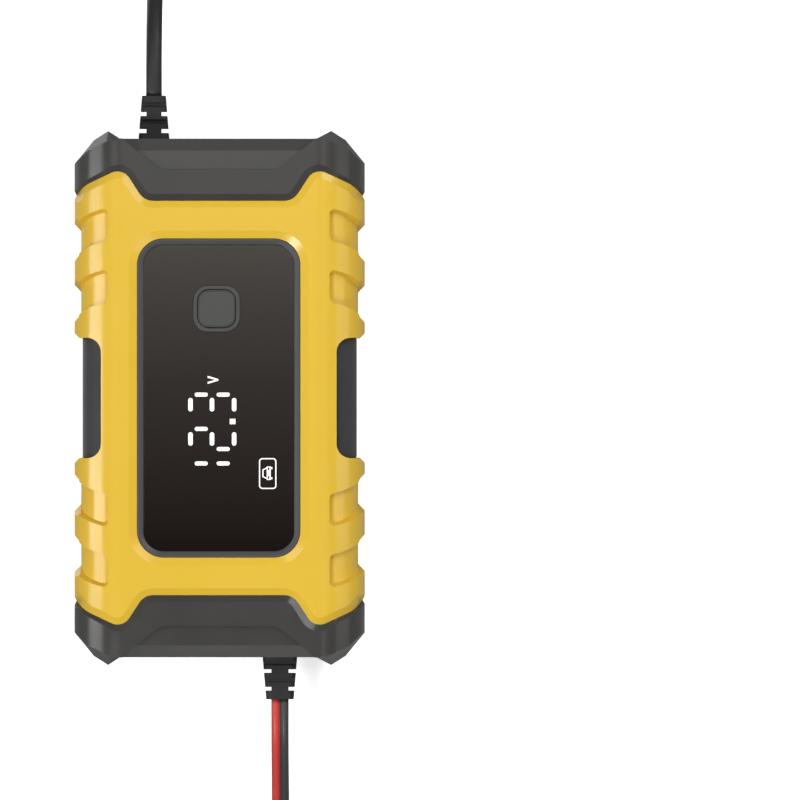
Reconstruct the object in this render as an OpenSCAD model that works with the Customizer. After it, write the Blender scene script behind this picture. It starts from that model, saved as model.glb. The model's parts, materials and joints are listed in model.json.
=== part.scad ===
// Car battery charger with end bumpers, display, mains lead and a twin output lead with two battery clips.
// It lies on its four rear screw bosses: +Z is the front face, +Y the mains end. Millimetres.

/* [Housing] */
// Width over the side ribs
body_w = 86.8; // [84:0.2:92]
// Length between the flat end faces
body_l = 154.6; // [152:0.2:162]
// Height from the feet to the front face
body_h = 46; // [44:0.5:52]
// Height of the boss rings that it stands on
foot_h = 1; // [0.6:0.1:2]
// Radius of the long rounded shoulders
shoulder_r = 15; // [13:0.5:17]
// Thickness of the shells away from the pads
shell_wall = 4.2; // [3.8:0.1:4.8]
// Thickness of the shells behind the pads and of the caps
pad_wall = 5.9; // [5.6:0.1:6.4]

/* [Side pockets] */
// Depth of the pockets
pocket_d = 2; // [1:0.1:2.4]
// Length of a pocket along the body, at the front face
pocket_l = 9.8; // [8:0.1:11.5]
// Length of a pocket's floor on the side
pocket_side_l = 6.9; // [5:0.1:8]
// Widening of a pocket towards the outside on the side, at each end
pocket_flare = 2.1; // [0.5:0.1:2.5]
// Distances of the pocket centres from the flat ends
pocket_ends = [25.8, 44];
// Reach of the pockets over the shoulder, from the side
pocket_reach = 10.4; // [8:0.1:11.5]
// Lean of the pockets towards the middle, in degrees
pocket_lean = 25; // [16:1:28]
// Corner radius of the pockets
pocket_r = 1.7; // [0.5:0.1:3]

/* [Side pads] */
// Length of a soft pad
pad_l = 35.7; // [30:0.1:37]
// Thickness of a pad
pad_t = 1.5; // [1:0.1:1.6]
// Depth of the pad face under the ribs
pad_sunk = 2.4; // [1:0.1:2.4]
// Reach of the pads over the shoulder, from the side
pad_reach = 8.2; // [6.5:0.1:9.5]
// Corner radius of the pads
pad_r = 4.2; // [2:0.1:5]
// Corner cut of the ribs next to the pads
pad_flare = 1.5; // [0.5:0.1:2]

/* [End caps] */
// Reach of the corner noses past the flat end faces
nose_l = 2.7; // [1.5:0.1:3.5]
// Width of the bevel along the seam
groove_w = 2; // [0.5:0.1:2.5]
// Depth of the bevel along the seam
groove_d = 1; // [0.4:0.1:1.4]
// Depth of the stepped panel at the seam side
panel_d = 0.8; // [0.4:0.1:1.2]
// Length of the steep outer part of the panel
panel_slope_l = 3.6; // [2:0.1:5]
// Number of grip ribs on the mains end
grip_count = 9; // [5:2:9]
// Width of a grip rib
grip_w = 3.6; // [2:0.1:4.5]
// Pitch of the grip ribs
grip_pitch = 6.87; // [5:0.01:7]
// Height of a grip rib
grip_h = 0.45; // [0.2:0.05:1]

/* [Display] */
// Width of the bezel
bezel_w = 48.6; // [46:0.1:50]
// Distance of the bezel from the flat ends
bezel_end = 29.8; // [28.5:0.05:33]
// Corner radius of the bezel
bezel_r = 8; // [6:0.5:9]
// Width of the bezel's visible ring
bezel_ring = 1.9; // [1.5:0.1:2.4]
// Depth of the window under the front face
window_sunk = 1.2; // [0.8:0.1:1.5]
// Thickness of the window
window_t = 1.4; // [1:0.1:1.6]
// Depth of the display board under the front face
display_board_depth = 7.4; // [7:0.1:8]
// Thickness of the display board
display_board_t = 1.2; // [1:0.1:1.6]
// Width of the bevel in the shell round the bezel
rim_w = 2.4; // [1:0.1:3]
// Depth of that bevel
rim_d = 0.7; // [0.3:0.1:0.9]

/* [Key] */
// Place of the key across the body
key_x = -0.6; // [-3:0.1:3]
// Distance of the key's centre from the end of the bezel
key_end = 20.9; // [18:0.1:24]
// Width of the key cap
key_w = 11.1; // [9:0.1:11.5]
// Outer width of the ring round the key
key_ring_w = 13.9; // [13.6:0.1:14.6]
// Corner radius of the key cap
key_r = 3.3; // [2:0.1:4]
// Travel of the key
key_travel = 0.5; // [0.2:0.05:0.6]

/* [Rear label] */
// Width of the label frame
frame_w = 45; // [40:0.5:45]
// Length of the label frame
frame_l = 74.5; // [70:0.5:78]
// Corner radius of the label frame
frame_r = 6.6; // [4:0.1:8]
// Width of the frame round the label
frame_ring = 2.7; // [2:0.1:4]
// Thickness of the label frame
frame_t = 1.6; // [1.2:0.1:2]
// Length of the cut corner of the label
label_cut = 6; // [3:0.5:8]

/* [Screws] */
// Distance between the housing screws across the body
screw_dx = 47.6; // [47:0.1:49]
// Distance of the housing screws from the flat ends
screw_end = 28.3; // [27.5:0.1:29]
// Outer diameter of the boss rings
boss_ring_d = 10.3; // [9:0.1:11]
// Diameter of the counterbores
counterbore_d = 6.1; // [5.9:0.1:6.6]
// Diameter of the screw heads
screw_head_d = 5.4; // [5:0.1:5.7]
// Diameter of the screw shanks
screw_d = 2.9; // [2.5:0.1:3.2]
// Length of the screws under the head
screw_l = 30; // [27:1:33]

/* [Boards] */
// Thickness of the main board
board_t = 1.6; // [1.2:0.1:2]
// Distance of the main board from the sides
board_side = 7.4; // [7.3:0.1:9]
// Distance of the main board from the flat ends
board_end = 20.3; // [18:0.1:23]
// Height of the posts under the main board
post_h = 6; // [5:0.5:7]

/* [Mains lead] */
// Diameter of the mains lead
mains_d = 4.8; // [4.4:0.1:5]
// Place of the mains lead across the body
mains_x = -19.8; // [-22:0.1:-17]
// Length of the mains strain relief
mains_relief_l = 13.3; // [12:0.1:14]

/* [Output lead] */
// Diameter of one core of the output lead
core_d = 2.6; // [2.2:0.1:2.8]
// Place of the output lead across the body
lead_x = 18; // [16:0.1:20]
// Length of the output strain relief
lead_relief_l = 13; // [12:0.1:14]

/* [Battery clips] */
// Width of a clip over its grips
clip_w = 15; // [14:0.2:17]
// Thickness of the clip's steel
clip_sheet = 0.9; // [0.6:0.1:1.1]
// Opening of a clip, in degrees
clip_open = 30; // [20:1:30]

/* [Hidden] */
$fn = 48;

clear = 0.1;             // gap between fixed parts that fit into each other
eps = 0.01;
far = 60;                // reach of cutters past the body
half_w = body_w / 2;
half_h = (body_h - foot_h) / 2;
mid_z = foot_h + half_h; // height of the joint between the shells
end_y = body_l / 2;
pocket_at = [for (d = pocket_ends) end_y - d];
pocket_x = half_w - pocket_reach;
pad_x = half_w - pad_reach;
bezel_l = body_l - 2 * bezel_end;
key_at = [key_x, bezel_l / 2 - key_end];
screw_dy = body_l - 2 * screw_end;
board_w = body_w - 2 * board_side;
board_l = body_l - 2 * board_end;
front_in = body_h - shell_wall;   // inner face of the front wall
rear_in = foot_h + shell_wall;    // inner face of the rear wall
board_z = rear_in + post_h;
board_top = board_z + board_t;
display_board_top = body_h - display_board_depth;
display_board_z = display_board_top - display_board_t;
room_h = display_board_z - board_top;   // for the components between the boards
board_x = board_w / 2;
board_y = board_l / 2;

YELLOW = "#e7bd3e";
CAP = "#4b4a48";
DARK = "#35302e";
STEEL = "#b8babd";
GREEN = "#1f5d3a";
BLACK = "#222224";
RED = "#c8453a";

// ---------- outlines ----------

module rounded_rect(w, l, r) {
    square([w - 2 * r, l], center = true);
    square([w, l - 2 * r], center = true);
    for (sx = [-1, 1])
        for (sy = [-1, 1])
            translate([sx * (w / 2 - r), sy * (l / 2 - r)])
                circle(r);
}

module plate(w, l, r, h) {
    linear_extrude(h)
        rounded_rect(w, l, r);
}

// Bar along Y with the housing's rounded section, drawn in by "depth"
module section_bar(depth, len) {
    translate([0, 0, mid_z])
        rotate([90, 0, 0])
            linear_extrude(len, center = true)
                rounded_rect(2 * (half_w - depth), 2 * (half_h - depth), shoulder_r - depth);
}

function unit(v) = v / norm(v);

// Replaces the corner at b by an arc of radius r, for a polyline a-b-c
function corner(a, b, c, r, steps) =
    r == 0 ? [b] :
    let (u = unit(a - b), v = unit(c - b), half = acos(u * v) / 2,
         centre = b + unit(u + v) * r / sin(half),
         p = b + u * r / tan(half) - centre,
         q = b + v * r / tan(half) - centre,
         sweep = 180 - 2 * half)
    [for (k = [0 : steps])
        centre + (p * sin(sweep * (1 - k / steps)) + q * sin(sweep * k / steps)) / sin(sweep)];

// Polyline with each inner [x, y, radius] rounded
function rounded(pts, steps = 5) = [for (i = [0 : len(pts) - 1])
    let (b = [pts[i][0], pts[i][1]])
    each (i == 0 || i == len(pts) - 1) ? [b] :
        corner([pts[i - 1][0], pts[i - 1][1]], b, [pts[i + 1][0], pts[i + 1][1]], pts[i][2], steps)];

function mirrored(pts) = [for (i = [len(pts) - 1 : -1 : 0]) [-pts[i][0], pts[i][1]]];

// Closed outline moved inwards by s at every corner, sharp ones no further than s (counter-clockwise outline)
function drawn_in(pts, s) = [for (i = [0 : len(pts) - 1])
    let (n = len(pts), d1 = unit(pts[i] - pts[(i + n - 1) % n]), d2 = unit(pts[(i + 1) % n] - pts[i]),
         n1 = [-d1[1], d1[0]], n2 = [-d2[1], d2[0]], m = (n1 + n2) / (1 + n1 * n2))
    pts[i] + m * s / (norm(m) > 1.3 ? norm(m) : 1)];

function at_height(pts, z) = [for (p = pts) [p[0], p[1], z]];

// Solid through equal rings of points, from the lowest ring to the highest
module loft(rings) {
    n = len(rings[0]);
    last = len(rings) - 1;
    polyhedron(
        points = [for (ring = rings) each ring],
        faces = concat(
            [[for (i = [0 : n - 1]) i]],
            [for (k = [0 : last - 1])
                for (i = [0 : n - 1])
                    let (a = k * n + i, b = k * n + (i + 1) % n)
                    each [[a, a + n, b + n], [a, b + n, b]]],
            [[for (i = [n - 1 : -1 : 0]) last * n + i]]),
        convexity = 8);
}

function rounded_rect_points(w, l, r, steps = 6) = [for (q = [0 : 3])
    let (cx = (q == 0 || q == 3 ? 1 : -1) * (w / 2 - r), cy = (q < 2 ? 1 : -1) * (l / 2 - r))
    for (k = [0 : steps])
        [cx + r * cos(90 * (q + k / steps)), cy + r * sin(90 * (q + k / steps))]];

// ---------- seam between shells and caps ----------

seam_side_y = end_y - 16.7;       // height of the seam at the sides
seam_crest_y = end_y - 8.7;       // where its crest would come to a point
seam_flat_y = end_y - 18.6;       // the straight middle part
groove_out = half_w + 2.6;        // past the sides, where the outlines turn

// Polyline with points added to its long pieces out on the shoulder, so that it follows the curve there
function followed(pts, step) = [for (i = [0 : len(pts) - 1])
    let (a = pts[i], b = pts[min(i + 1, len(pts) - 1)],
         n = i < 2 || a[0] < half_w - shoulder_r ? 1 : max(1, ceil(norm(b - a) / step)))
    each [for (k = [0 : n - 1]) a + (b - a) * k / n]];

function seam_right(side_y) = followed(rounded([
    [groove_out, side_y], [half_w - 0.7, seam_side_y, 0], [half_w - 3.4, seam_side_y + 2.8, 8],
    [half_w - 14.8, seam_crest_y, 4.2], [half_w - 21.2, seam_flat_y, 5], [0, seam_flat_y]], 8), 1.5);

function seam(side_y) = let (right = seam_right(side_y))
    concat(right, [for (p = mirrored(right)) if (p[0] < -eps) p]);

// Height of the shoulder above the joint at a place across the body
function shoulder_at(x) = let (over = min(abs(x), half_w) - (half_w - shoulder_r))
    half_h - shoulder_r + (over <= 0 ? shoulder_r : sqrt(max(0, shoulder_r * shoulder_r - over * over)));

// Drop below the surface that gives the bevel the same depth on the shoulder as on the flat face
function drop_at(x, bevel) = let (over = max(0, min(abs(x), half_w) - (half_w - shoulder_r)) / shoulder_r)
    bevel / max(0.45, sqrt(1 - over * over));

over_groove = 0.4;       // how far the bevel runs on past the surface
function seam_ring(outline, moved, k, bevel) =
    [for (i = [0 : len(outline) - 1])
        let (p = outline[i],
             q = abs(p[0]) > half_w ? p : moved[i],
             s = shoulder_at(p[0]))
        abs(k) == 1 ? [p[0], p[1], mid_z + sign(k) * (s - drop_at(p[0], bevel))] :
        abs(k) == 2 ? [q[0], q[1], mid_z + sign(k)
            * (max(s, shoulder_at(q[0])) + over_groove * drop_at(q[0], bevel))] :
        [q[0], q[1], mid_z + sign(k) * far]];

// Prism whose outline is drawn in along the rounded front and rear faces, which bevels its edge there
module bevelled_prism(outline) {
    moved = drawn_in(outline, (1 + over_groove) * groove_w);
    loft([for (k = [-3, -2, -1, 1, 2, 3]) seam_ring(outline, moved, k, groove_d)]);
}

module above_joint(up) {
    translate([-far * 2, -far * 2, up ? mid_z : mid_z - far])
        cube([far * 4, far * 4, far]);
}

// ---------- shells ----------

module shells_outside() {
    top = seam(seam_side_y - 6);
    bottom = [for (p = top) -p];
    intersection() {
        section_bar(0, body_l);
        bevelled_prism(concat(top, bottom));
    }
}

module cavity() {
    section_bar(pad_wall, body_l + far);
    intersection() {
        section_bar(shell_wall, body_l + far);
        translate([pad_wall - shell_wall + 0.5 - pad_x, -body_l, 0])
            cube([2 * (pad_x - 0.5 - pad_wall + shell_wall), 2 * body_l, far]);
    }
    for (s = [-1, 1])
        translate([0, s * (pad_l / 2 + 2 + body_l / 4), 0])
            section_bar(shell_wall, body_l / 2);
}

// Outline of a pocket at one height, with its ends flared outside the pocket floor
function pocket_ring(low, high, low_flare, high_flare, z) = let (floor_x = half_w - pocket_d, run = 3)
    at_height(rounded([[half_w + 2 * pocket_d, high + high_flare * run], [floor_x, high, 0],
        [pocket_x, high, pocket_r], [pocket_x, low, pocket_r],
        [floor_x, low, 0], [half_w + 2 * pocket_d, low - low_flare * run]]), z);

// One pocket on the +X +Y side above the joint: leaned over the shoulder, straight and flared on the side
module pocket(y) {
    top = body_h - 1;
    side = mid_z + half_h - shoulder_r;
    bend = side + 0.46 * (top - side);
    high = y + pocket_l / 2;
    low = y - pocket_l / 2;
    side_high = high - (top - side) * tan(pocket_lean);
    side_low = side_high - pocket_side_l;
    bend_drop = (top - bend) * tan(pocket_lean);
    rise = 3 * tan(pocket_lean);
    slight = 0.05;
    loft([
        pocket_ring(side_low, side_high, pocket_flare, pocket_flare, mid_z - 1),
        pocket_ring(side_low, side_high, pocket_flare, pocket_flare, side),
        pocket_ring(max(side_low, low - bend_drop), high - bend_drop, pocket_flare, slight, bend),
        pocket_ring(low, high, slight, slight, top),
        pocket_ring(low + rise, high + rise, slight, slight, top + 3)]);
}

module pockets() {
    difference() {
        for (side = [0, 1])
            for (end = [0, 1])
                mirror([side, 0, 0])
                    mirror([0, end, 0])
                        for (y = pocket_at)
                            pocket(y);
        section_bar(pocket_d, body_l * 2);
    }
}

module pad_slot(gap) {
    for (side = [0, 1])
        mirror([side, 0, 0])
            translate([pad_x - gap + far / 2, 0, -far])
                plate(far, pad_l + 2 * gap, pad_r + gap, far * 2);
}

module pad_recess() {
    difference() {
        pad_slot(clear);
        section_bar(pad_sunk + pad_t + clear / 2, body_l);
    }
    rib_x = half_w - pad_flare;
    rib_y = pad_l / 2 + clear;
    for (side = [0, 1])
        mirror([side, 0, 0])
            translate([0, 0, -far])
                linear_extrude(3 * far)
                    polygon([[rib_x, -rib_y], [rib_x + 4, -rib_y - 4], [rib_x + 4, rib_y + 4], [rib_x, rib_y]]);
}

module at_screws() {
    for (sx = [-1, 1])
        for (sy = [-1, 1])
            translate([sx * screw_dx / 2, sy * screw_dy / 2, 0])
                children();
}

boss_d = screw_d + 3.9;
pilot_d = screw_d + 2 * clear / 2;
head_seat = foot_h + 1.6;         // height of the seat under the screw heads

module front_shell() {
    color(YELLOW)
        difference() {
            union() {
                difference() {
                    intersection() {
                        shells_outside();
                        above_joint(true);
                    }
                    cavity();
                    pockets();
                    pad_recess();
                }
                at_screws()
                    translate([0, 0, mid_z])
                        cylinder(d = boss_d, h = front_in - mid_z + eps);
            }
            at_screws()
                translate([0, 0, mid_z - eps])
                    cylinder(d = pilot_d, h = screw_l - (mid_z - head_seat) + 1);
            translate([0, 0, front_in - 1])
                linear_extrude(far)
                    rounded_rect(bezel_w + clear, bezel_l + clear, bezel_r);
            translate([0, 0, 0])
                loft([
                    at_height(rounded_rect_points(bezel_w, bezel_l, bezel_r), body_h - rim_d - 0.2),
                    at_height(rounded_rect_points(bezel_w + 2 * rim_w + 1, bezel_l + 2 * rim_w + 1,
                        bezel_r + rim_w), body_h + 0.2)]);
        }
}

module at_posts() {
    for (sx = [-1, 1])
        for (sy = [-1, 1])
            translate([sx * (board_x - 4), sy * 22, 0])
                children();
}

module rear_shell() {
    color(YELLOW)
        difference() {
            union() {
                difference() {
                    intersection() {
                        shells_outside();
                        above_joint(false);
                    }
                    cavity();
                    translate([0, 0, 2 * mid_z])
                        mirror([0, 0, 1])
                            pockets();
                    pad_recess();
                }
                at_screws() {
                    cylinder(d = boss_ring_d, h = rear_in);
                    cylinder(d = boss_d + 1.4, h = mid_z);
                }
                at_posts()
                    translate([0, 0, rear_in - eps])
                        cylinder(d = 5.6, h = post_h + eps);
            }
            at_screws() {
                translate([0, 0, -1])
                    cylinder(d = counterbore_d, h = head_seat + 1);
                cylinder(d = pilot_d + 0.2, h = far);
            }
            at_posts()
                translate([0, 0, rear_in + 0.5])
                    cylinder(d = 2.3, h = far);
            translate([0, 0, -1])
                plate(frame_w + clear, frame_l + clear, frame_r, foot_h + 0.3 + frame_t + 1);
        }
}

// ---------- end caps ----------

// Outline of the cap at the joint height and at the front and rear faces, right half from the side to the middle
nose_x = half_w - 10;
nose_in_x = half_w - 14.1;
cap_mid = [[groove_out, end_y - 10.1], [half_w - 2.1, end_y - 4.4], [half_w - 5.7, end_y],
    [nose_x, end_y + nose_l], [nose_in_x, end_y]];
cap_face = [[groove_out, end_y - 11.4], [half_w - 1, end_y - 7.8], [half_w - 3.7, end_y - 4.8],
    [nose_x, end_y - 1], [nose_in_x, end_y]];

function cap_ring(half, z) = at_height(
    concat([[groove_out, 0]], half, mirrored(half), [[-groove_out, 0]]), z);

module cap_block() {
    loft([cap_ring(cap_face, foot_h - 2), cap_ring(cap_face, foot_h), cap_ring(cap_mid, mid_z - 4),
        cap_ring(cap_mid, mid_z + 4), cap_ring(cap_face, body_h), cap_ring(cap_face, body_h + 2)]);
}

// Stepped panel in the front face of a cap, deeper towards the end
panel_flat_y = end_y - 9.4;
module cap_panel() {
    half = rounded([[half_w - 11.9, end_y + 2], [half_w - 25.8, panel_flat_y, 4], [0, panel_flat_y]]);
    outline = concat(half, [for (p = mirrored(half)) if (p[0] < -eps) p]);
    slope_y = end_y - panel_slope_l;
    panel_cut(outline, panel_flat_y, panel_d, 5);
    panel_cut(outline, slope_y, panel_d + (slope_y - panel_flat_y) * tan(5), 36);
}

// Cuts all above a plane that leans down towards the end from a line across the cap
module panel_cut(outline, y, depth, lean) {
    translate([0, y, body_h - depth])
        rotate([-lean, 0, 0])
            translate([0, -y, 0])
                linear_extrude(8)
                    polygon(outline);
}

module relief_hole(x) {
    translate([x - 3.6, end_y - 9, mid_z - 3.6])
        cube([7.2, 20, 7.2]);
}

cap_tongue_l = 4.5;
module end_cap(relief_x) {
    top = seam(seam_side_y + 6);
    box_top = [[-groove_out, end_y + 20], [groove_out, end_y + 20]];
    difference() {
        union() {
            difference() {
                intersection() {
                    section_bar(0, body_l * 2);
                    cap_block();
                    bevelled_prism([for (p = concat([for (i = [len(top) - 1 : -1 : 0]) top[i]],
                        [box_top[1], box_top[0]])) p]);
                }
                cap_panel();
                translate([0, 0, 2 * mid_z])
                    mirror([0, 0, 1])
                        cap_panel();
            }
            intersection() {
                section_bar(shell_wall + clear, body_l * 2);
                translate([-far, seam_flat_y - cap_tongue_l, 0])
                    cube([2 * far, end_y - seam_flat_y - 5 + cap_tongue_l, far]);
            }
        }
        intersection() {
            section_bar(pad_wall, body_l * 2);
            translate([-far, 0, 0])
                cube([2 * far, end_y - 3, far]);
        }
        relief_hole(relief_x);
    }
}

module mains_end_cap() {
    color(CAP) {
        end_cap(mains_x);
        for (i = [0 : grip_count - 1])
            translate([(i - (grip_count - 1) / 2) * grip_pitch - grip_w / 2, end_y - eps, foot_h + 3.5])
                cube([grip_w, grip_h + eps, mid_z - foot_h - 8.5]);
    }
}

module lead_end_cap() {
    color(CAP)
        mirror([0, 1, 0])
            end_cap(lead_x);
}

// ---------- side pads ----------

module side_pad(side) {
    color("#4d4d50")
        intersection() {
            difference() {
                section_bar(pad_sunk, body_l);
                section_bar(pad_sunk + pad_t, body_l * 2);
            }
            pad_slot(0);
            translate([side > 0 ? 0 : -far, -far, -far])
                cube([far, 2 * far, 3 * far]);
        }
}
module side_pad_left() { side_pad(-1); }
module side_pad_right() { side_pad(1); }

// ---------- display ----------

window_top = body_h - window_sunk;
window_seat = window_top - window_t;
bezel_flange_z = front_in - 1.4;
opening_w = bezel_w - 2 * bezel_ring;
opening_l = bezel_l - 2 * bezel_ring;
flange_w = bezel_w + 3.6;
flange_l = bezel_l + 3.6;

display_screw_end = 9;            // distance of the display screws from the ends of the opening
module at_display_screws() {
    for (sx = [-1, 1])
        for (sy = [-1, 1])
            translate([sx * (opening_w / 2 + 0.5), sy * (opening_l / 2 - display_screw_end), 0])
                children();
}

module display_bezel() {
    color("#555558")
        difference() {
            union() {
                translate([0, 0, bezel_flange_z])
                    plate(bezel_w - clear, bezel_l - clear, bezel_r, body_h - 0.8 - bezel_flange_z);
                translate([0, 0, bezel_flange_z])
                    plate(flange_w, flange_l, bezel_r + 1, front_in - bezel_flange_z);
                at_display_screws()
                    translate([0, 0, display_board_top])
                        cylinder(d = 4.4, h = bezel_flange_z - display_board_top + eps);
            }
            translate([0, 0, window_seat])
                plate(opening_w + clear, opening_l + clear, bezel_r - bezel_ring, far);
            translate([0, 0, -eps])
                plate(opening_w - 4, opening_l - 4, bezel_r - bezel_ring - 1, far);
            at_display_screws()
                translate([0, 0, 1])
                    cylinder(d = 1.9, h = bezel_flange_z);
            at_screws()
                cylinder(d = boss_d + 0.6, h = far);
            loft([
                at_height(rounded_rect_points(opening_w, opening_l, bezel_r - bezel_ring), window_top - 0.2),
                at_height(rounded_rect_points(bezel_w - 0.8, bezel_l - 0.8, bezel_r - 0.4), body_h - 0.7)]);
        }
}

module display_window() {
    color(DARK)
        difference() {
            translate([0, 0, window_seat])
                plate(opening_w, opening_l, bezel_r - bezel_ring, window_t);
            translate([key_at[0], key_at[1], 0])
                plate(key_ring_w + clear, key_ring_w + clear, key_r + 1.3, far);
        }
}

key_flange_w = key_w + 1.5;
module button_surround() {
    color("#5a5a5a")
        translate([key_at[0], key_at[1], 0])
            difference() {
                union() {
                    translate([0, 0, window_seat - 1])
                        plate(key_ring_w + 1.8, key_ring_w + 1.8, key_r + 2, 1);
                    translate([0, 0, window_seat - 1])
                        plate(key_ring_w, key_ring_w, key_r + 1.2, window_t + 1.2);
                }
                plate(key_w + 0.4, key_w + 0.4, key_r + 0.2, far);
                plate(key_flange_w + 0.4, key_flange_w + 0.4, key_r + 0.9, window_seat);
            }
}

key_bottom = window_seat - 0.5;
module mode_button() {
    color("#505052")
        translate([key_at[0], key_at[1], 0]) {
            translate([0, 0, key_bottom])
                plate(key_w, key_w, key_r, window_top + 0.1 - key_bottom);
            translate([0, 0, key_bottom])
                plate(key_w - 0.8, key_w - 0.8, key_r - 0.4, window_top + 0.35 - key_bottom);
            translate([0, 0, key_bottom])
                plate(key_flange_w, key_flange_w, key_r + 0.7, 0.45);
        }
}

switch_top = key_bottom - 1;
module tact_switch() {
    color("#2a2a2c")
        translate([key_at[0], key_at[1], 0])
            difference() {
                translate([-3, -3, display_board_top])
                    cube([6, 6, switch_top - display_board_top]);
                translate([0, 0, switch_top - 1.6])
                    cylinder(d = 3.6, h = far);
            }
}

module switch_plunger() {
    color("#b8b4a8")
        translate([key_at[0], key_at[1], switch_top - 0.9])
            cylinder(d = 3.4, h = key_bottom - switch_top + 0.9);
}

display_board_end = 3;            // distance of the display board from the ends of the opening
module display_board() {
    color(GREEN)
        difference() {
            translate([0, 0, display_board_z])
                plate(flange_w - 2, opening_l - 2 * display_board_end, 3, display_board_t);
            at_display_screws()
                cylinder(d = 2.4, h = far);
        }
}

module display_screws() {
    color(STEEL)
        at_display_screws() {
            translate([0, 0, display_board_z - 1.2])
                cylinder(d = 3.6, h = 1.2);
            translate([0, 0, display_board_z - eps])
                cylinder(d = 1.8, h = 3.6);
        }
}

digit_at = [-1.4, -9.6];
digit_w = 21;
digit_l = 31;
module segment_well(l) {
    rounded_rect(1.5, l, 0.74);
}
module digit(y) {
    translate([0, y]) {
        for (x = [-6.4, 0, 6.4])
            translate([x, 0])
                segment_well(4);
        for (x = [-3.2, 3.2])
            for (dy = [-3.4, 3.4])
                translate([x, dy])
                    rotate(90)
                        segment_well(4);
    }
}
module digit_module() {
    color("#e8e6e0")
        translate([digit_at[0], digit_at[1], 0])
            difference() {
                translate([-digit_w / 2, -digit_l / 2, display_board_top])
                    cube([digit_w, digit_l, window_seat - 0.3 - display_board_top]);
                translate([0, 0, display_board_top + 1])
                    linear_extrude(far)
                        for (y = [-10, 0, 10])
                            digit(y);
            }
}

// ---------- rear label ----------

module label_frame() {
    color("#3c3c3e")
        difference() {
            translate([0, 0, foot_h + 0.3])
                plate(frame_w, frame_l, frame_r, frame_t);
            label_sheet(0.35, 0.05, 0);
        }
}

// Label with one cut corner; "gap" widens it for its seat
module label_sheet(h, gap, lift) {
    w = frame_w - 2 * frame_ring;
    l = frame_l - 2 * frame_ring;
    translate([0, 0, foot_h + 0.3 + lift])
        difference() {
            translate([0, 0, lift > 0 ? 0 : -1])
                plate(w + 2 * gap, l + 2 * gap, frame_r - frame_ring - 1.2, h + (lift > 0 ? 0 : 1));
            translate([w / 2 + gap, l / 2 + gap, -2])
                rotate(45)
                    translate([-label_cut / sqrt(2), -label_cut, 0])
                        cube([label_cut * 2, label_cut * 2, 6]);
        }
}

module rating_label() {
    color("#241c1a")
        label_sheet(0.25, 0, 0.1);
}

// ---------- screws and boards ----------

module cross_recess(d, h) {
    for (a = [0, 90])
        rotate(a)
            translate([-d / 2, -0.35, -eps])
                cube([d, 0.7, h + eps]);
}

module housing_screws() {
    color(STEEL)
        at_screws()
            difference() {
                union() {
                    translate([0, 0, head_seat - 1.9])
                        cylinder(d1 = screw_head_d - 1.2, d2 = screw_head_d, h = 0.7);
                    translate([0, 0, head_seat - 1.2])
                        cylinder(d = screw_head_d, h = 1.2);
                    translate([0, 0, head_seat - eps])
                        cylinder(d = screw_d, h = screw_l);
                }
                translate([0, 0, head_seat - 1.9])
                    cross_recess(3, 1.1);
            }
}

module board_screws() {
    color(STEEL)
        at_posts()
            difference() {
                union() {
                    translate([0, 0, board_top])
                        cylinder(d = 4.4, h = 1.5);
                    translate([0, 0, board_top - 6])
                        cylinder(d = 2.2, h = 6 + eps);
                }
                translate([0, 0, board_top + 0.6])
                    cross_recess(2.4, 1);
            }
}

module main_board() {
    color(GREEN)
        difference() {
            translate([0, 0, board_z])
                plate(board_w, board_l, 3, board_t);
            at_screws()
                cylinder(d = boss_d + 3, h = far);
            at_posts()
                cylinder(d = 2.5, h = far);
        }
}

fuse_d = 8.4;
module input_fuse() {
    color("#8a5a30")
        translate([-10, board_y - 6, board_top])
            cylinder(d = fuse_d, h = 7.6);
}

module suppression_capacitor() {
    color("#d8b13a")
        translate([-2, board_y - 10.5, board_top])
            cube([17, 8, 13]);
}

// Ring core with its winding, standing on the board
module ring_choke(d, thick, tall) {
    translate([0, 0, board_top + tall / 2 + clear])
        rotate_extrude()
            translate([(d - thick) / 2, 0])
                rounded_rect(thick, tall, 1.2);
}

line_choke_d = 17;
module line_choke() {
    color("#8c4a22")
        translate([4.5 + line_choke_d / 2 - board_x, board_y - 23, 0])
            ring_choke(line_choke_d, 5, 9);
}

bulk_d = 18;
bulk_foot_h = 3.2;
bulk_end = 23.5;                  // distance of its middle from the end of the main board
module bulk_capacitor() {
    color("#2a2f45")
        translate([1, board_y - bulk_end, board_top]) {
            cylinder(d = bulk_d - 0.6, h = bulk_foot_h);
            translate([0, 0, bulk_foot_h - eps])
                cylinder(d = bulk_d, h = room_h - 1.9 - bulk_foot_h);
        }
}

sink_t = 2;
sink_x = board_x - 11;            // inner face of the heatsinks
sink_l = 15;
sink_h = room_h - 3.6;
module heatsink() {
    translate([sink_x, 0, board_top])
        cube([sink_t, sink_l, sink_h]);
    translate([sink_x, 0, board_top + sink_h - sink_t])
        cube([sink_t + 5, sink_l, sink_t]);
}

module primary_heatsink() {
    color("#c9ccd0")
        translate([0, board_y - 29, 0])
            heatsink();
}

package_t = 3.4;
package_tab_h = 6;
package_h = room_h - 15.6;
module power_package() {
    translate([sink_x - package_t, sink_l / 2, board_top + 3]) {
        translate([0, -5, 0])
            cube([package_t, 10, package_h]);
        translate([package_t - 1.2, -5, package_h - eps])
            cube([1.2, 10, package_tab_h]);
        for (dy = [-2.54, 0, 2.54])
            translate([1.2, dy - 0.4, -3])
                cube([0.5, 0.8, 3 + eps]);
    }
}

module switching_transistor() {
    color(BLACK)
        translate([0, board_y - 29, 0])
            power_package();
}

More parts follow.
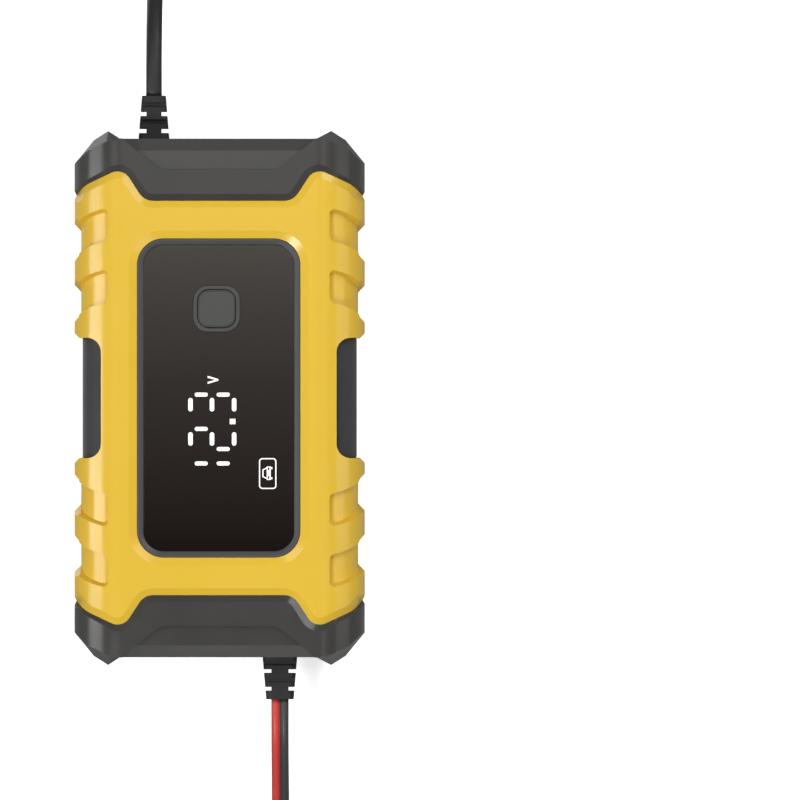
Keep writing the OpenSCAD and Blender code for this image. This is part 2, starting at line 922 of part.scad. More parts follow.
core_w = 33;
core_l = 12;
core_foot_h = 4;
core_h = room_h - 3.6 - core_foot_h;
core_leg = 9.2;                   // width of the middle leg
core_window = 8;
core_yoke = 4;
winding_gap = 0.1;
transformer_y = 1;
module transformer_core() {
    color("#3b3b40")
        translate([0, transformer_y, board_top + core_foot_h])
            difference() {
                translate([-core_w / 2, -core_l / 2, 0])
                    cube([core_w, core_l, core_h]);
                for (s = [-1, 1])
                    translate([s * (core_leg + core_window) / 2 - core_window / 2, -far / 2, core_yoke])
                        cube([core_window, far, core_h - 2 * core_yoke]);
            }
}

module transformer_winding() {
    w = core_leg + 2 * core_window - 2 * winding_gap;
    color("#d9b24a")
        translate([0, transformer_y, board_top]) {
            for (s = [-1, 1])
                translate([-w / 2, s * (core_l / 2 + 6) - 3, 0])
                    cube([w, 6, core_foot_h + core_yoke + winding_gap + eps]);
            difference() {
                translate([-w / 2, -core_l / 2 - 8, core_foot_h + core_yoke + winding_gap])
                    cube([w, core_l + 16, core_h - 2 * core_yoke - 2 * winding_gap]);
                translate([-core_leg / 2 - winding_gap, -core_l / 2 - winding_gap, 0])
                    cube([core_leg + 2 * winding_gap, core_l + 2 * winding_gap, far]);
            }
        }
}

module output_heatsink() {
    color("#c9ccd0")
        mirror([1, 0, 0])
            translate([0, 14 - board_y, 0])
                heatsink();
}

module output_diode() {
    color(BLACK)
        mirror([1, 0, 0])
            translate([0, 14 - board_y, 0])
                power_package();
}

smoothing_d = 10;
smoothing_foot_h = 2;
module output_capacitors() {
    color("#32415a")
        for (x = [-10, 4])
            translate([x, 20 - board_y, board_top]) {
                cylinder(d = smoothing_d - 0.4, h = smoothing_foot_h);
                translate([0, 0, smoothing_foot_h - eps])
                    cylinder(d = smoothing_d, h = room_h - 6.6 - smoothing_foot_h);
            }
}

output_choke_d = 15;
module output_choke() {
    color("#6d6f35")
        translate([board_x - 6.5 - output_choke_d / 2, 23 - board_y, 0])
            ring_choke(output_choke_d, 4.6, 9);
}

// Pin strip from the main board up to the display board
link_pins = 5;
link_pitch = 2.54;
module board_link() {
    reach = room_h;
    w = link_pins * link_pitch;
    color(BLACK)
        translate([board_x - 14, 2, board_top]) {
            for (z = [0, reach - 8.5])
                translate([-1.25, -w / 2, z])
                    cube([2.5, w, 8.5]);
            for (i = [0 : link_pins - 1])
                translate([-0.32, (i - (link_pins - 1) / 2) * link_pitch - 0.32, 8])
                    cube([0.64, 0.64, reach - 16]);
        }
}

// ---------- strain reliefs ----------

// Slotted tapered relief along +Y from y = 0, with a neck and a flange inside the cap wall
module relief(w1, w2, l, t1, t2, core_w, side_slots, face_slots, slot) {
    difference() {
        rotate([-90, 0, 0])
            loft([at_height(rounded_rect_points(w1, t1, 1.4, 3), 0),
                at_height(rounded_rect_points(w2, t2, 1.2, 3), l)]);
        for (y = side_slots)
            for (s = [-1, 1])
                translate([s * (core_w / 2 + far / 2) - far / 2, y, -far / 2])
                    cube([far, slot, far]);
        for (y = face_slots)
            for (s = [-1, 1])
                translate([-far / 2, y, s * (core_w / 2 + far / 2) - far / 2])
                    cube([far, slot, far]);
    }
    translate([-3.5, -3 - eps, -3.5])
        cube([7, 3 + 2 * eps, 7]);
    translate([-5, -5, -5])
        cube([10, 2, 10]);
}

module mains_strain_relief() {
    color(BLACK)
        translate([mains_x, end_y, mid_z])
            relief(9.2, 7.1, mains_relief_l, 8.4, 6.6, 4.3, [2.1, 7.2], [4.8, 9.9], 1.35);
}

module lead_strain_relief() {
    color(BLACK)
        translate([lead_x, -end_y, mid_z])
            mirror([0, 1, 0])
                relief(10.4, 8.2, lead_relief_l, 7, 5.4, 5.1, [4, 9.3], [1.6, 6.6], 1.2);
}

// ---------- cords ----------

function side_of(dir) = unit(cross([0, 0, 1], dir));

// Ring of "sides" points round p, square to dir; w is its width and h its height
function cord_ring(p, dir, w, h, sides) =
    let (t = unit(dir), n = side_of(t), up = cross(t, n))
    [for (k = [0 : sides - 1])
        let (a = 360 * (k + 0.5) / sides)
        p + n * w / 2 * cos(a) + up * h / 2 * sin(a)];

function direction(path, i) = i == 0 ? path[1] - path[0] :
    i == len(path) - 1 ? path[i] - path[i - 1] :
    unit(path[i] - path[i - 1]) + unit(path[i + 1] - path[i]);

// Tube along a path, all its faces triangles
module cord_tube(path, w, h, sides) {
    n = len(path);
    points = concat([path[0]], [for (i = [0 : n - 1]) each cord_ring(path[i], direction(path, i), w, h, sides)],
        [path[n - 1]]);
    last = len(points) - 1;
    polyhedron(points = points, convexity = 10, faces = concat(
        [for (k = [0 : sides - 1]) [0, 1 + k, 1 + (k + 1) % sides]],
        [for (i = [0 : n - 2])
            for (k = [0 : sides - 1])
                let (a = 1 + i * sides + k, b = 1 + i * sides + (k + 1) % sides)
                each [[a, a + sides, b + sides], [a, b + sides, b]]],
        [for (k = [0 : sides - 1]) [last, last - sides + (k + 1) % sides, last - sides + k]]));
}

mains_route = [[-19.8, 90.6, 23.5], [-19.8, 97, 23.5], [-19.8, 103, 22.8], [-19.8, 109, 20.8],
    [-19.8, 114.5, 17.6], [-19.8, 119.5, 13.6], [-19.8, 124.5, 9.6], [-19.8, 130, 6.3],
    [-19.8, 136, 4.1], [-19.8, 142.5, 3.3], [-19.8, 149.5, 3.2], [-19.8, 156.8, 3.2]];
mains_tail_route = [[13.8, 190.3, 18.95], [18.6, 190.3, 18.95], [24, 190.3, 18.5], [29, 190.3, 17.4],
    [33.5, 190.3, 16.1], [38.5, 189.6, 14.2], [43.2, 187.7, 12.3], [47.2, 184.6, 10.5],
    [50.3, 180.6, 9], [52.3, 175.9, 7.9], [53, 170.9, 7.5], [53, 166.1, 7.5]];
dc_route = [[18, -90.3, 23.5], [18, -96, 23.5], [18, -101, 22.8], [18, -106, 20.9], [18, -111, 17.8],
    [18, -116, 14.2], [18, -121, 10.6], [18, -126, 7.4], [18, -131, 4.9], [18, -136, 3.2],
    [18, -141, 2.3], [18, -146, 2.1], [18, -150.8, 2.1]];
red_route = [[5.4, -127.4, 5.3], [8.2, -127.4, 5.3], [11, -127.4, 4.5], [14, -127.4, 3],
    [17.5, -127.5, 1.7], [21, -128, 1.3], [25, -129.2, 1.3], [28.5, -131.3, 1.3], [31.2, -134, 1.5],
    [33, -137.4, 2.1], [33.8, -141.1, 3.1], [34, -144.4, 3.8], [34, -147.4, 3.38]];
black_route = [[5.4, -124.8, 5.3], [8.2, -124.8, 5.3], [11, -124.8, 4.5], [14, -124.8, 3],
    [17.5, -124.8, 1.7], [22, -124.8, 1.3], [28, -124.8, 1.3], [34, -125.2, 1.3], [40, -126.6, 1.3],
    [45, -129.4, 1.3], [48.6, -133.1, 1.5], [50.9, -137.2, 2.1], [51.8, -141.1, 3.1],
    [52, -144.4, 3.8], [52, -147.4, 3.38]];

// Piled coil: spirals in and out at a steady rate, and climbs a layer in the half turn where it reverses
coil_gap = 0.55;
coil_lift = 0.8;
function ease(t) = t <= 0 ? 0 : t >= 1 ? 1 : t * t * (3 - 2 * t);
function coil_point(centre, start, turn, turns, layers, r_out, pitch, z0, layer_h) =
    let (per = turns / layers, k = turn / per, saw = abs(k - 2 * floor(k / 2 + 0.5)),
         r = r_out - saw * per * pitch,
         climbed = [for (j = [1 : layers - 1]) ease((turn - j * per) / 0.5 + 0.5)],
         up = climbed * [for (c = climbed) 1],
         a = start - 360 * turn)
    [centre[0] + r * cos(a), centre[1] + r * sin(a), z0 + layer_h * up];

function coil_path(centre, start, turns, layers, r_out, pitch, z0, layer_h, lead_in) =
    let (steps = ceil(24 * turns),
         wound = [for (i = [0 : steps])
             coil_point(centre, start, i * turns / steps, turns, layers, r_out, pitch, z0, layer_h)],
         first = [sin(start), -cos(start), 0], end = start - 360 * turns,
         last = [sin(end), -cos(end), 0])
    concat([wound[0] - first * lead_in], wound, [wound[steps] + last * lead_in]);

// Least distance between points of a coil more than half a turn apart, less the cord
function least_gap(path, d) = min([for (i = [0 : len(path) - 1])
    for (j = [i + 13 : 1 : len(path) - 1])
        norm(path[i] - path[j]) - d]);
// The same for a flat cord of width w and height h, measured upright
function least_gap_flat(path, w, h) = min([for (i = [0 : len(path) - 1])
    for (j = [i + 13 : 1 : len(path) - 1])
        let (v = path[i] - path[j])
        (norm([v[0], v[1], v[2] * w / h]) - w) * h / w]);

mains_turns = 6.25;
mains_coil_r = 28.7;
mains_coil_at = [8.9, 161.6];
mains_coil_path = coil_path(mains_coil_at, 180, mains_turns, 4, mains_coil_r, mains_d + coil_gap,
    coil_lift + mains_d / 2, mains_d + 0.45, mains_d);
dc_turns = 2.75;
dc_coil_r = 29.9;
dc_coil_at = [-11.9, -156];
dc_layer_h = core_d + 0.6;
dc_coil_path = coil_path(dc_coil_at, 0, dc_turns, 2, dc_coil_r, 2 * core_d + 1,
    coil_lift + core_d / 2, dc_layer_h, 2 * core_d);
echo(mains_coil_least_gap = least_gap(mains_coil_path, mains_d));
echo(dc_coil_least_gap = least_gap_flat(dc_coil_path, 2 * core_d, core_d));

module mains_cord() { color(BLACK) cord_tube(mains_route, mains_d, mains_d, 8); }
module mains_coil() { color(BLACK) cord_tube(mains_coil_path, mains_d, mains_d, 6); }
module mains_tail() { color(BLACK) cord_tube(mains_tail_route, mains_d, mains_d, 8); }
module dc_lead() { color(RED) cord_tube(dc_route, 2 * core_d, core_d, 8); }
module dc_coil() { color(RED) cord_tube(dc_coil_path, 2 * core_d, core_d, 6); }
module red_tail() { color(RED) cord_tube(red_route, core_d, core_d, 8); }
module black_tail() { color(BLACK) cord_tube(black_route, core_d, core_d, 8); }

// Strap round the turns of a coil, square to them
module coil_tie(centre, angle, r_in, r_out, top) {
    t = 0.6;
    translate([centre[0], centre[1], 0])
        rotate(angle)
            translate([(r_in + r_out) / 2, 4, top / 2])
                rotate([90, 0, 0])
                    difference() {
                        plate(r_out - r_in + 2 * t, top - 0.1, 1.6, 8);
                        translate([0, 0, -1])
                            plate(r_out - r_in, top - 0.1 - 2 * t, 1, 10);
                    }
}

module mains_tie() {
    color(BLACK)
        coil_tie(mains_coil_at, 300, 17.6, 31.6, coil_lift + 4 * mains_d + 3 * 0.45 + 0.9);
}

module dc_tie() {
    color(BLACK)
        coil_tie(dc_coil_at, 180, 18.4, 33, coil_lift + core_d + dc_layer_h + 0.9);
}

module lead_splitter() {
    color(BLACK)
        translate([-6.7, -126.1, coil_lift + core_d / 2 + dc_layer_h])
            rotate([90, 0, 90])
                loft([at_height(rounded_rect_points(7.4, 4.6, 1.6, 3), 0),
                    at_height(rounded_rect_points(7.4, 4.6, 1.6, 3), 9.5),
                    at_height(rounded_rect_points(6.4, 3.6, 1.4, 3), 12)]);
}

// ---------- mains plug ----------

plug_x = 53;
plug_back_y = 166;
plug_z = 7.5;
blade_gap = 12.7;
module mains_plug() {
    color(BLACK)
        translate([plug_x, plug_back_y, plug_z])
            rotate([90, 0, 0])
                loft([at_height(rounded_rect_points(6.4, 6.4, 3, 4), 0),
                    at_height(rounded_rect_points(8, 7.6, 3, 4), 9),
                    at_height(rounded_rect_points(15, 11, 3.6, 4), 12),
                    at_height(rounded_rect_points(22, 14.2, 4.4, 4), 19),
                    at_height(rounded_rect_points(23.4, 14.6, 4.4, 4), 23.5),
                    at_height(rounded_rect_points(24, 14.6, 3.4, 4), 27.5)]);
}

module plug_blades() {
    color("#c8a850")
        for (s = [-1, 1])
            translate([plug_x + s * blade_gap / 2, plug_back_y - 27.5, plug_z])
                rotate([90, 0, 0])
                    difference() {
                        translate([-0.75, -3.15, 0])
                            cube([1.5, 6.3, 16]);
                        translate([-1, 0, 12.6])
                            rotate([0, 90, 0])
                                cylinder(d = 3.2, h = 2);
                    }
}

// ---------- battery clips ----------
// A clip's halves are drawn in a side view: a runs from the pivot to the tip, b up from the closing line.

clip_tilt = 8;
clip_pivot = [-179.4, 11.2];        // y and z of both pivots
red_clip_x = 34;
black_clip_x = 52;
pin_d = 3;
ear_r = 4.6;
teeth = 7;
tooth = 2;

// Turns a side view, with a towards -Y and b up, into its place
module in_clip(x, w) {
    translate([x, clip_pivot[0], clip_pivot[1]])
        rotate([clip_tilt, 0, 0])
            rotate([90, 0, -90])
                translate([0, 0, -w / 2])
                    linear_extrude(w)
                        children();
}

// Lower edge of the lower half, from the handle to the tip, raised by t
function clip_under(t) = concat([[-29, -13.2 + t], [-7, -6.6 + t]],
    [for (k = [0 : 6]) let (a = k / 6) [1 + 25 * a, -6.5 + t - 2.2 * sin(150 * a)  + 4 * pow(a, 4)]],
    [[27.5 - t, -2.2 + t / 2]]);

module clip_side(t) {
    polygon(concat(clip_under(t), [[27.5 - t, -0.3]],
        [for (i = [0 : teeth - 1]) each [[27 - tooth * (i + 0.5), -1.2], [27 - tooth * (i + 1), -0.3]]],
        [[9.5, -3.4], [5, -3.2], [0, -3], [-5, -3.5], [-10, -5], [-28.5, -10.6]]));
}

module clip_half(x, w) {
    inner_w = w - 2 * clip_sheet;
    difference() {
        union() {
            in_clip(x, w)
                clip_side(0);
            for (s = [-1, 1])
                in_clip_ear(x + s * (w - clip_sheet) / 2)
                    circle(ear_r);
        }
        in_clip(x, inner_w)
            translate([0, 0])
                polygon(concat(clip_under(clip_sheet), [[27.5 - clip_sheet, 9], [-30, 9],
                    [-30, -13.2 + clip_sheet]]));
        in_clip(x, w + 2)
            circle(d = pin_d + clear);
    }
}

module in_clip_ear(x) {
    in_clip(x, clip_sheet)
        children();
}

// The lower half turned over about the closing line
module turned_over(x) {
    translate([x, clip_pivot[0], clip_pivot[1]])
        rotate([clip_tilt, 0, 0])
            mirror([0, 0, 1])
                rotate([-clip_tilt, 0, 0])
                    translate([-x, -clip_pivot[0], -clip_pivot[1]])
                        children();
}

fixed_w = 12;
moving_w = fixed_w - 2 * clip_sheet - 0.6;

module fixed_jaw(x) { color(STEEL) clip_half(x, fixed_w); }
module moving_jaw(x) { color(STEEL) turned_over(x) clip_half(x, moving_w); }

module clip_pin(x) {
    color(STEEL) {
        in_clip(x, fixed_w + 0.2)
            circle(d = pin_d);
        for (s = [-1, 1])
            in_clip(x + s * (fixed_w + 1) / 2, 1 - clear)
                circle(d = pin_d + 1.6);
    }
}

spring_r = 3;
spring_wire = 0.9;
spring_turns = 3.25;
module clip_spring(x) {
    half = 3.2;
    steps = 8 * 3 + 2;
    wound = [for (i = [0 : steps])
        let (u = i / steps, a = 210 + 360 * spring_turns * u)
        [(u - 0.5) * 2 * half, spring_r * cos(a), spring_r * sin(a)]];
    color("#8e9096")
        translate([x, clip_pivot[0], clip_pivot[1]])
            rotate([clip_tilt, 0, 0])
                wire_tube(wound, spring_wire);
}

// Wire wound round X
module wire_tube(path, d) {
    n = len(path);
    sides = 6;
    points = concat([path[0]], [for (i = [0 : n - 1])
        let (t = unit(direction(path, i)), n1 = unit(cross([1, 0, 0], t)), n2 = cross(t, n1))
        for (k = [0 : sides - 1])
            path[i] + d / 2 * (n1 * cos(60 * k) + n2 * sin(60 * k))],
        [path[n - 1]]);
    last = len(points) - 1;
    polyhedron(points = points, convexity = 10, faces = concat(
        [for (k = [0 : sides - 1]) [0, 1 + k, 1 + (k + 1) % sides]],
        [for (i = [0 : n - 2])
            for (k = [0 : sides - 1])
                let (a = 1 + i * sides + k, b = 1 + i * sides + (k + 1) % sides)
                each [[a, a + sides, b + sides], [a, b + sides, b]]],
        [for (k = [0 : sides - 1]) [last, last - sides + (k + 1) % sides, last - sides + k]]));
}

module clip_grip(x) {
    difference() {
        in_clip(x, clip_w)
            polygon([[-30.5, -14.4], [-29.5, -15], [-24, -14.6], [-12, -10.6], [-9, -9.4], [-9, -4.4],
                [-20, -7.2], [-29.5, -9.4], [-30.5, -10]]);
        in_clip(x, fixed_w + 2 * clear)
            polygon([[-29.2, -13.4], [-8, -7], [-8, -4.9], [-10, -4.9], [-28.6, -10.4], [-29.2, -10.6]]);
        in_clip(x, fixed_w + 2 * clear)
            polygon([[-10, -7.6], [-6, -6.4], [-6, 0], [-10, 0]]);
    }
}

module fixed_grip(x, c) { color(c) clip_grip(x); }
module moving_grip(x, c) { color(c) turned_over(x) clip_grip(x); }

module red_clip_fixed_jaw() { fixed_jaw(red_clip_x); }
module red_clip_moving_jaw() { moving_jaw(red_clip_x); }
module red_clip_pin() { clip_pin(red_clip_x); }
module red_clip_spring() { clip_spring(red_clip_x); }
module red_clip_fixed_grip() { fixed_grip(red_clip_x, RED); }
module red_clip_moving_grip() { moving_grip(red_clip_x, RED); }
module black_clip_fixed_jaw() { fixed_jaw(black_clip_x); }
module black_clip_moving_jaw() { moving_jaw(black_clip_x); }
module black_clip_pin() { clip_pin(black_clip_x); }
module black_clip_spring() { clip_spring(black_clip_x); }
module black_clip_fixed_grip() { fixed_grip(black_clip_x, BLACK); }
module black_clip_moving_grip() { moving_grip(black_clip_x, BLACK); }

front_shell();
rear_shell();
mains_end_cap();
lead_end_cap();
side_pad_left();
side_pad_right();
display_bezel();
display_window();
button_surround();
mode_button();
label_frame();
rating_label();
housing_screws();
main_board();
board_screws();
input_fuse();
suppression_capacitor();
line_choke();
bulk_capacitor();
primary_heatsink();
switching_transistor();
transformer_core();
transformer_winding();
output_heatsink();
output_diode();
output_capacitors();
output_choke();
board_link();
display_board();
display_screws();
digit_module();
tact_switch();
switch_plunger();
mains_strain_relief();
mains_cord();
mains_coil();
mains_tail();
mains_tie();
mains_plug();
plug_blades();
lead_strain_relief();
dc_lead();
dc_coil();
dc_tie();
lead_splitter();
red_tail();
black_tail();
red_clip_fixed_jaw();
red_clip_moving_jaw();
red_clip_pin();
red_clip_spring();
red_clip_fixed_grip();
red_clip_moving_grip();
black_clip_fixed_jaw();
black_clip_moving_jaw();
black_clip_pin();
black_clip_spring();
black_clip_fixed_grip();
black_clip_moving_grip();
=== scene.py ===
"""Dresses the car battery charger: moulded housing, display, cords, plug and battery clips."""

import json
import math

import bmesh
import bpy
from mathutils import Matrix, Vector
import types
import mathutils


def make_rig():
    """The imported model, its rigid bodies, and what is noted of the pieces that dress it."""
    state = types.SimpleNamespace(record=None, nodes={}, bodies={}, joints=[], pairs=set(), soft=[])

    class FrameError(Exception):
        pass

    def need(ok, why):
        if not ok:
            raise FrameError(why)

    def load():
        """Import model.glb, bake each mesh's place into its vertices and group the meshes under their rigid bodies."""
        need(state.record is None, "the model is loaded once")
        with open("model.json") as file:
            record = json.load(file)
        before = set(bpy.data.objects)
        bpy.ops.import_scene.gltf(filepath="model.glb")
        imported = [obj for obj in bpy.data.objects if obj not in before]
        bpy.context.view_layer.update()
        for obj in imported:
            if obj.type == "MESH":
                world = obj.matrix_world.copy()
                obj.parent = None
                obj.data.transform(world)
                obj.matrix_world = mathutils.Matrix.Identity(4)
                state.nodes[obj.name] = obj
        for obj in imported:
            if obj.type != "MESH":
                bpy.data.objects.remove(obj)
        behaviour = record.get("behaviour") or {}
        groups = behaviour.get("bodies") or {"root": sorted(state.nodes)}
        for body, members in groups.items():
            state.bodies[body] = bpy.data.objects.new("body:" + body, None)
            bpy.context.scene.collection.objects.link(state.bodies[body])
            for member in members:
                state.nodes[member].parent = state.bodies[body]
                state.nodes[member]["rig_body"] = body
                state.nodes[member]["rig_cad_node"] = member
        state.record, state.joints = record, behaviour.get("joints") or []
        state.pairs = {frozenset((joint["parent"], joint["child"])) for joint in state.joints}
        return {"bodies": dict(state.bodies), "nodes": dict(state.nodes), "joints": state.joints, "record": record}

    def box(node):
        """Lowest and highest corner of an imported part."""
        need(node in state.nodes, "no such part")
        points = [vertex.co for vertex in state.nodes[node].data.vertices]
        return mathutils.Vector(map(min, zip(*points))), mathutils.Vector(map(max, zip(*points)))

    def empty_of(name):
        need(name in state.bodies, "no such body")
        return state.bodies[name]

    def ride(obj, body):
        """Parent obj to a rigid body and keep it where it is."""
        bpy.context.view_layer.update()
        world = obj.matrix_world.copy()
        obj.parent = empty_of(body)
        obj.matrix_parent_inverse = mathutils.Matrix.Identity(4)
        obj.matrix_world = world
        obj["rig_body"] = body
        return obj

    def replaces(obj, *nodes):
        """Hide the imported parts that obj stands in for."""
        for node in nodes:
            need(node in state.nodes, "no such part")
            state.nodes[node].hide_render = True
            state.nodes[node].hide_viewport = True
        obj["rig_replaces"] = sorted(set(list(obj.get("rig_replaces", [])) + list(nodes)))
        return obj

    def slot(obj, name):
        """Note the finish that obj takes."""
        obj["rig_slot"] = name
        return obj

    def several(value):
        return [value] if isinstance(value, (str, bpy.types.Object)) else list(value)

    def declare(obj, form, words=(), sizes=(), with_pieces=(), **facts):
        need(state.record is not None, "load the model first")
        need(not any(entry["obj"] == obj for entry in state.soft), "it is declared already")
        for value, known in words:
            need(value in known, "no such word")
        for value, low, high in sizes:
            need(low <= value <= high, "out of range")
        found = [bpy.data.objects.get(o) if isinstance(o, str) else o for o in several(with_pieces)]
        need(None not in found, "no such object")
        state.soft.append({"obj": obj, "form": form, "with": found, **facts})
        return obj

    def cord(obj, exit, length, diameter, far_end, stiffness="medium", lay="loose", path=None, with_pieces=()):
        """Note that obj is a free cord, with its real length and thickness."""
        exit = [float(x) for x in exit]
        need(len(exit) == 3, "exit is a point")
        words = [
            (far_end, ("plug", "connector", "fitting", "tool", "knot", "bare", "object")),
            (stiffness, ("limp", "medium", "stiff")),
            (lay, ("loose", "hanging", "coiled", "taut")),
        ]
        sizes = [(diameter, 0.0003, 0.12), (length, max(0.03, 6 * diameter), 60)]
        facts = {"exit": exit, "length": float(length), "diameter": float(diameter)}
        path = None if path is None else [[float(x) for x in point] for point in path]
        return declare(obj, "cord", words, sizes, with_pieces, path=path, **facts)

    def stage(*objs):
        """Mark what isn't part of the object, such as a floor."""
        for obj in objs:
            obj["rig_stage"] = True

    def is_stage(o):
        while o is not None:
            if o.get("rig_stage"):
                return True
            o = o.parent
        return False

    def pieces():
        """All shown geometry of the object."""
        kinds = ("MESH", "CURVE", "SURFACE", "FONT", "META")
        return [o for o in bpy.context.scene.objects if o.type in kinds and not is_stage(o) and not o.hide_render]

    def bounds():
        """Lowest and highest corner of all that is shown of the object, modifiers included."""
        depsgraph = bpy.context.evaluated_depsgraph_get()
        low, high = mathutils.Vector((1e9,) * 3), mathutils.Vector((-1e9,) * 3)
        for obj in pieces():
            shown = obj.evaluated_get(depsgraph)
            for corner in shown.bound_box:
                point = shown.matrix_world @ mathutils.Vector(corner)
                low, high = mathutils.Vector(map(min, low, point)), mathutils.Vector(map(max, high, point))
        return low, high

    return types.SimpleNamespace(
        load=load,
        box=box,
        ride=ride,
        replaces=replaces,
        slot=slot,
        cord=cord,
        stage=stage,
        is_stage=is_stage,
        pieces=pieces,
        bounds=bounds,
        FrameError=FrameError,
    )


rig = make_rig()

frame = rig.load()
CAD_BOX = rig.bounds()

bl_info = {
    "name": "Car Battery Charger",
    "version": (1, 0, 0),
    "blender": (4, 5, 0),
    "location": "View3D > Sidebar > Charger",
    "description": "Finishes a car battery charger: housing, display, cords, plug and clips",
    "category": "Object",
}

MM = 0.001
NODES = frame["nodes"]
WHITE = (1, 1, 1, 1)


# ---------------------------------------------------------------- sizes and colours


def srgb(r, g, b, a=1.0):
    """Linear colour of an sRGB colour from 0 to 255."""

    def linear(c):
        c /= 255
        return c / 12.92 if c <= 0.04045 else ((c + 0.055) / 1.055) ** 2.4

    return (linear(r), linear(g), linear(b), a)


def colour(name, words, rgb):
    return bpy.props.FloatVectorProperty(
        name=name, description=words, subtype="COLOR", size=4, min=0, max=1, default=srgb(*rgb)
    )


def length(name, words, mm):
    return bpy.props.FloatProperty(
        name=name, description=words, subtype="DISTANCE", unit="LENGTH", default=mm * MM, min=0
    )


class ChargerColours(bpy.types.PropertyGroup):
    yellow: colour("Housing", "Moulded yellow of the two shells", (236, 194, 60))
    cap: colour("Caps", "Warm dark grey of the end caps", (62, 61, 59))
    pad: colour("Pads", "Soft grip pads on the sides", (60, 60, 64))
    bezel: colour("Bezel", "Frame round the display", (73, 72, 73))
    key: colour("Key", "Key cap and its ring", (69, 69, 68))
    window: colour("Window", "Gloss display window at its low end", (22, 12, 9))
    # the next colour is a painted reflection: the paler colour that the window is graded to at its high end
    window_painted_reflection: colour("Window top", "The same window at its high end", (72, 68, 64))
    mark: colour("Marks", "Lit digits and printed marks", (250, 247, 244))
    jacket: colour("Mains cord", "Jacket of the mains cord", (40, 40, 42))
    relief: colour("Strain reliefs", "Rubber of the reliefs and the splitter", (32, 32, 33))
    red: colour("Red core", "Red output core and grips", (212, 72, 66))
    black: colour("Black core", "Black output core and grips", (68, 68, 68))
    label_edge: colour("Label frame", "Frame of the rear label", (60, 60, 60))
    label: colour("Label", "Rear label, left bare", (38, 30, 27))


class ChargerSizes(bpy.types.PropertyGroup):
    edge: length("Edge radius", "Rounding of the moulded edges", 0.25)
    soft_edge: length("Pad edge radius", "Rounding of the soft pads' edges", 0.45)
    cord_step: length("Cord step", "Distance between rings of a cord", 1.6)


def colours():
    return bpy.context.scene.charger_colours


def sizes():
    return bpy.context.scene.charger_sizes


# ---------------------------------------------------------------- materials


NOISE_LOW, NOISE_HIGH = 0.3, 0.7  # most of a noise's values lie between these


class Shader:
    """A node material that is put together step by step."""

    def __init__(self, name, base, roughness=0.5, metallic=0.0, specular=0.5):
        self.material = bpy.data.materials.new(name)
        self.material.use_nodes = True
        self.nodes = self.material.node_tree.nodes
        self.links = self.material.node_tree.links
        self.main = self.nodes["Principled BSDF"]
        self.base = tuple(base)
        self.roughness = roughness
        self.main.inputs["Base Color"].default_value = self.base
        self.main.inputs["Roughness"].default_value = roughness
        self.main.inputs["Metallic"].default_value = metallic
        self.main.inputs["Specular IOR Level"].default_value = specular
        self.coords = self.nodes.new("ShaderNodeTexCoord")
        self.normal = None

    def place(self, scale=(1, 1, 1), shift=(0, 0, 0)):
        """Places on the object, scaled and then shifted."""
        mapping = self.nodes.new("ShaderNodeMapping")
        mapping.inputs["Location"].default_value = shift
        mapping.inputs["Scale"].default_value = scale
        self.links.new(self.coords.outputs["Object"], mapping.inputs["Vector"])
        return mapping.outputs["Vector"]

    def noise(self, scale, detail=3.0, rough=0.55, stretch=(1, 1, 1)):
        node = self.nodes.new("ShaderNodeTexNoise")
        node.inputs["Scale"].default_value = scale
        node.inputs["Detail"].default_value = detail
        node.inputs["Roughness"].default_value = rough
        self.links.new(self.place(stretch), node.inputs["Vector"])
        return node.outputs["Fac"]

    def vary_gloss(self, value, less, more):
        """Lets a noise take the roughness from less under to more over its plain value."""
        node = self.nodes.new("ShaderNodeMapRange")
        node.inputs["From Min"].default_value = NOISE_LOW
        node.inputs["From Max"].default_value = NOISE_HIGH
        node.inputs["To Min"].default_value = self.roughness - less
        node.inputs["To Max"].default_value = self.roughness + more
        self.links.new(value, node.inputs["Value"])
        self.links.new(node.outputs["Result"], self.main.inputs["Roughness"])

    def mottle(self, value, spread):
        """Varies the colour softly: spread is the share by which it goes darker and lighter."""
        ramp = self.nodes.new("ShaderNodeValToRGB")
        low, high = ramp.color_ramp.elements
        low.position, high.position = NOISE_LOW, NOISE_HIGH
        low.color = [c * (1 - spread) for c in self.base[:3]] + [1]
        high.color = [min(1, c * (1 + spread)) for c in self.base[:3]] + [1]
        self.links.new(value, ramp.inputs["Fac"])
        self.links.new(ramp.outputs["Color"], self.main.inputs["Base Color"])

    def grain(self, value, depth, strength=1.0):
        """Adds a bump of that depth in metres, on top of what is there."""
        bump = self.nodes.new("ShaderNodeBump")
        bump.inputs["Distance"].default_value = depth
        bump.inputs["Strength"].default_value = strength
        self.links.new(value, bump.inputs["Height"])
        if self.normal:
            self.links.new(self.normal, bump.inputs["Normal"])
        self.normal = bump.outputs["Normal"]
        self.links.new(self.normal, self.main.inputs["Normal"])


def moulded(name, base, roughness=0.42, spark=0.00002, spread=0.02, specular=0.5):
    """Moulded plastic: fine spark texture, faint flow marks and uneven gloss."""
    s = Shader(name, base, roughness, specular=specular)
    s.mottle(s.noise(scale=18, detail=4), spread)
    s.vary_gloss(s.noise(scale=60), less=0.03, more=0.03)
    s.grain(s.noise(scale=2600, detail=2, rough=0.6), spark, strength=0.6)
    return s.material


def rubbery(name, base, roughness=0.6, grain=0.00003):
    """Soft plastic: uneven gloss and a dull grain."""
    s = Shader(name, base, roughness, specular=0.4)
    s.mottle(s.noise(scale=40, detail=4), spread=0.05)
    s.vary_gloss(s.noise(scale=90), less=0.08, more=0.08)
    s.grain(s.noise(scale=1800, rough=0.65), grain, strength=0.7)
    return s.material


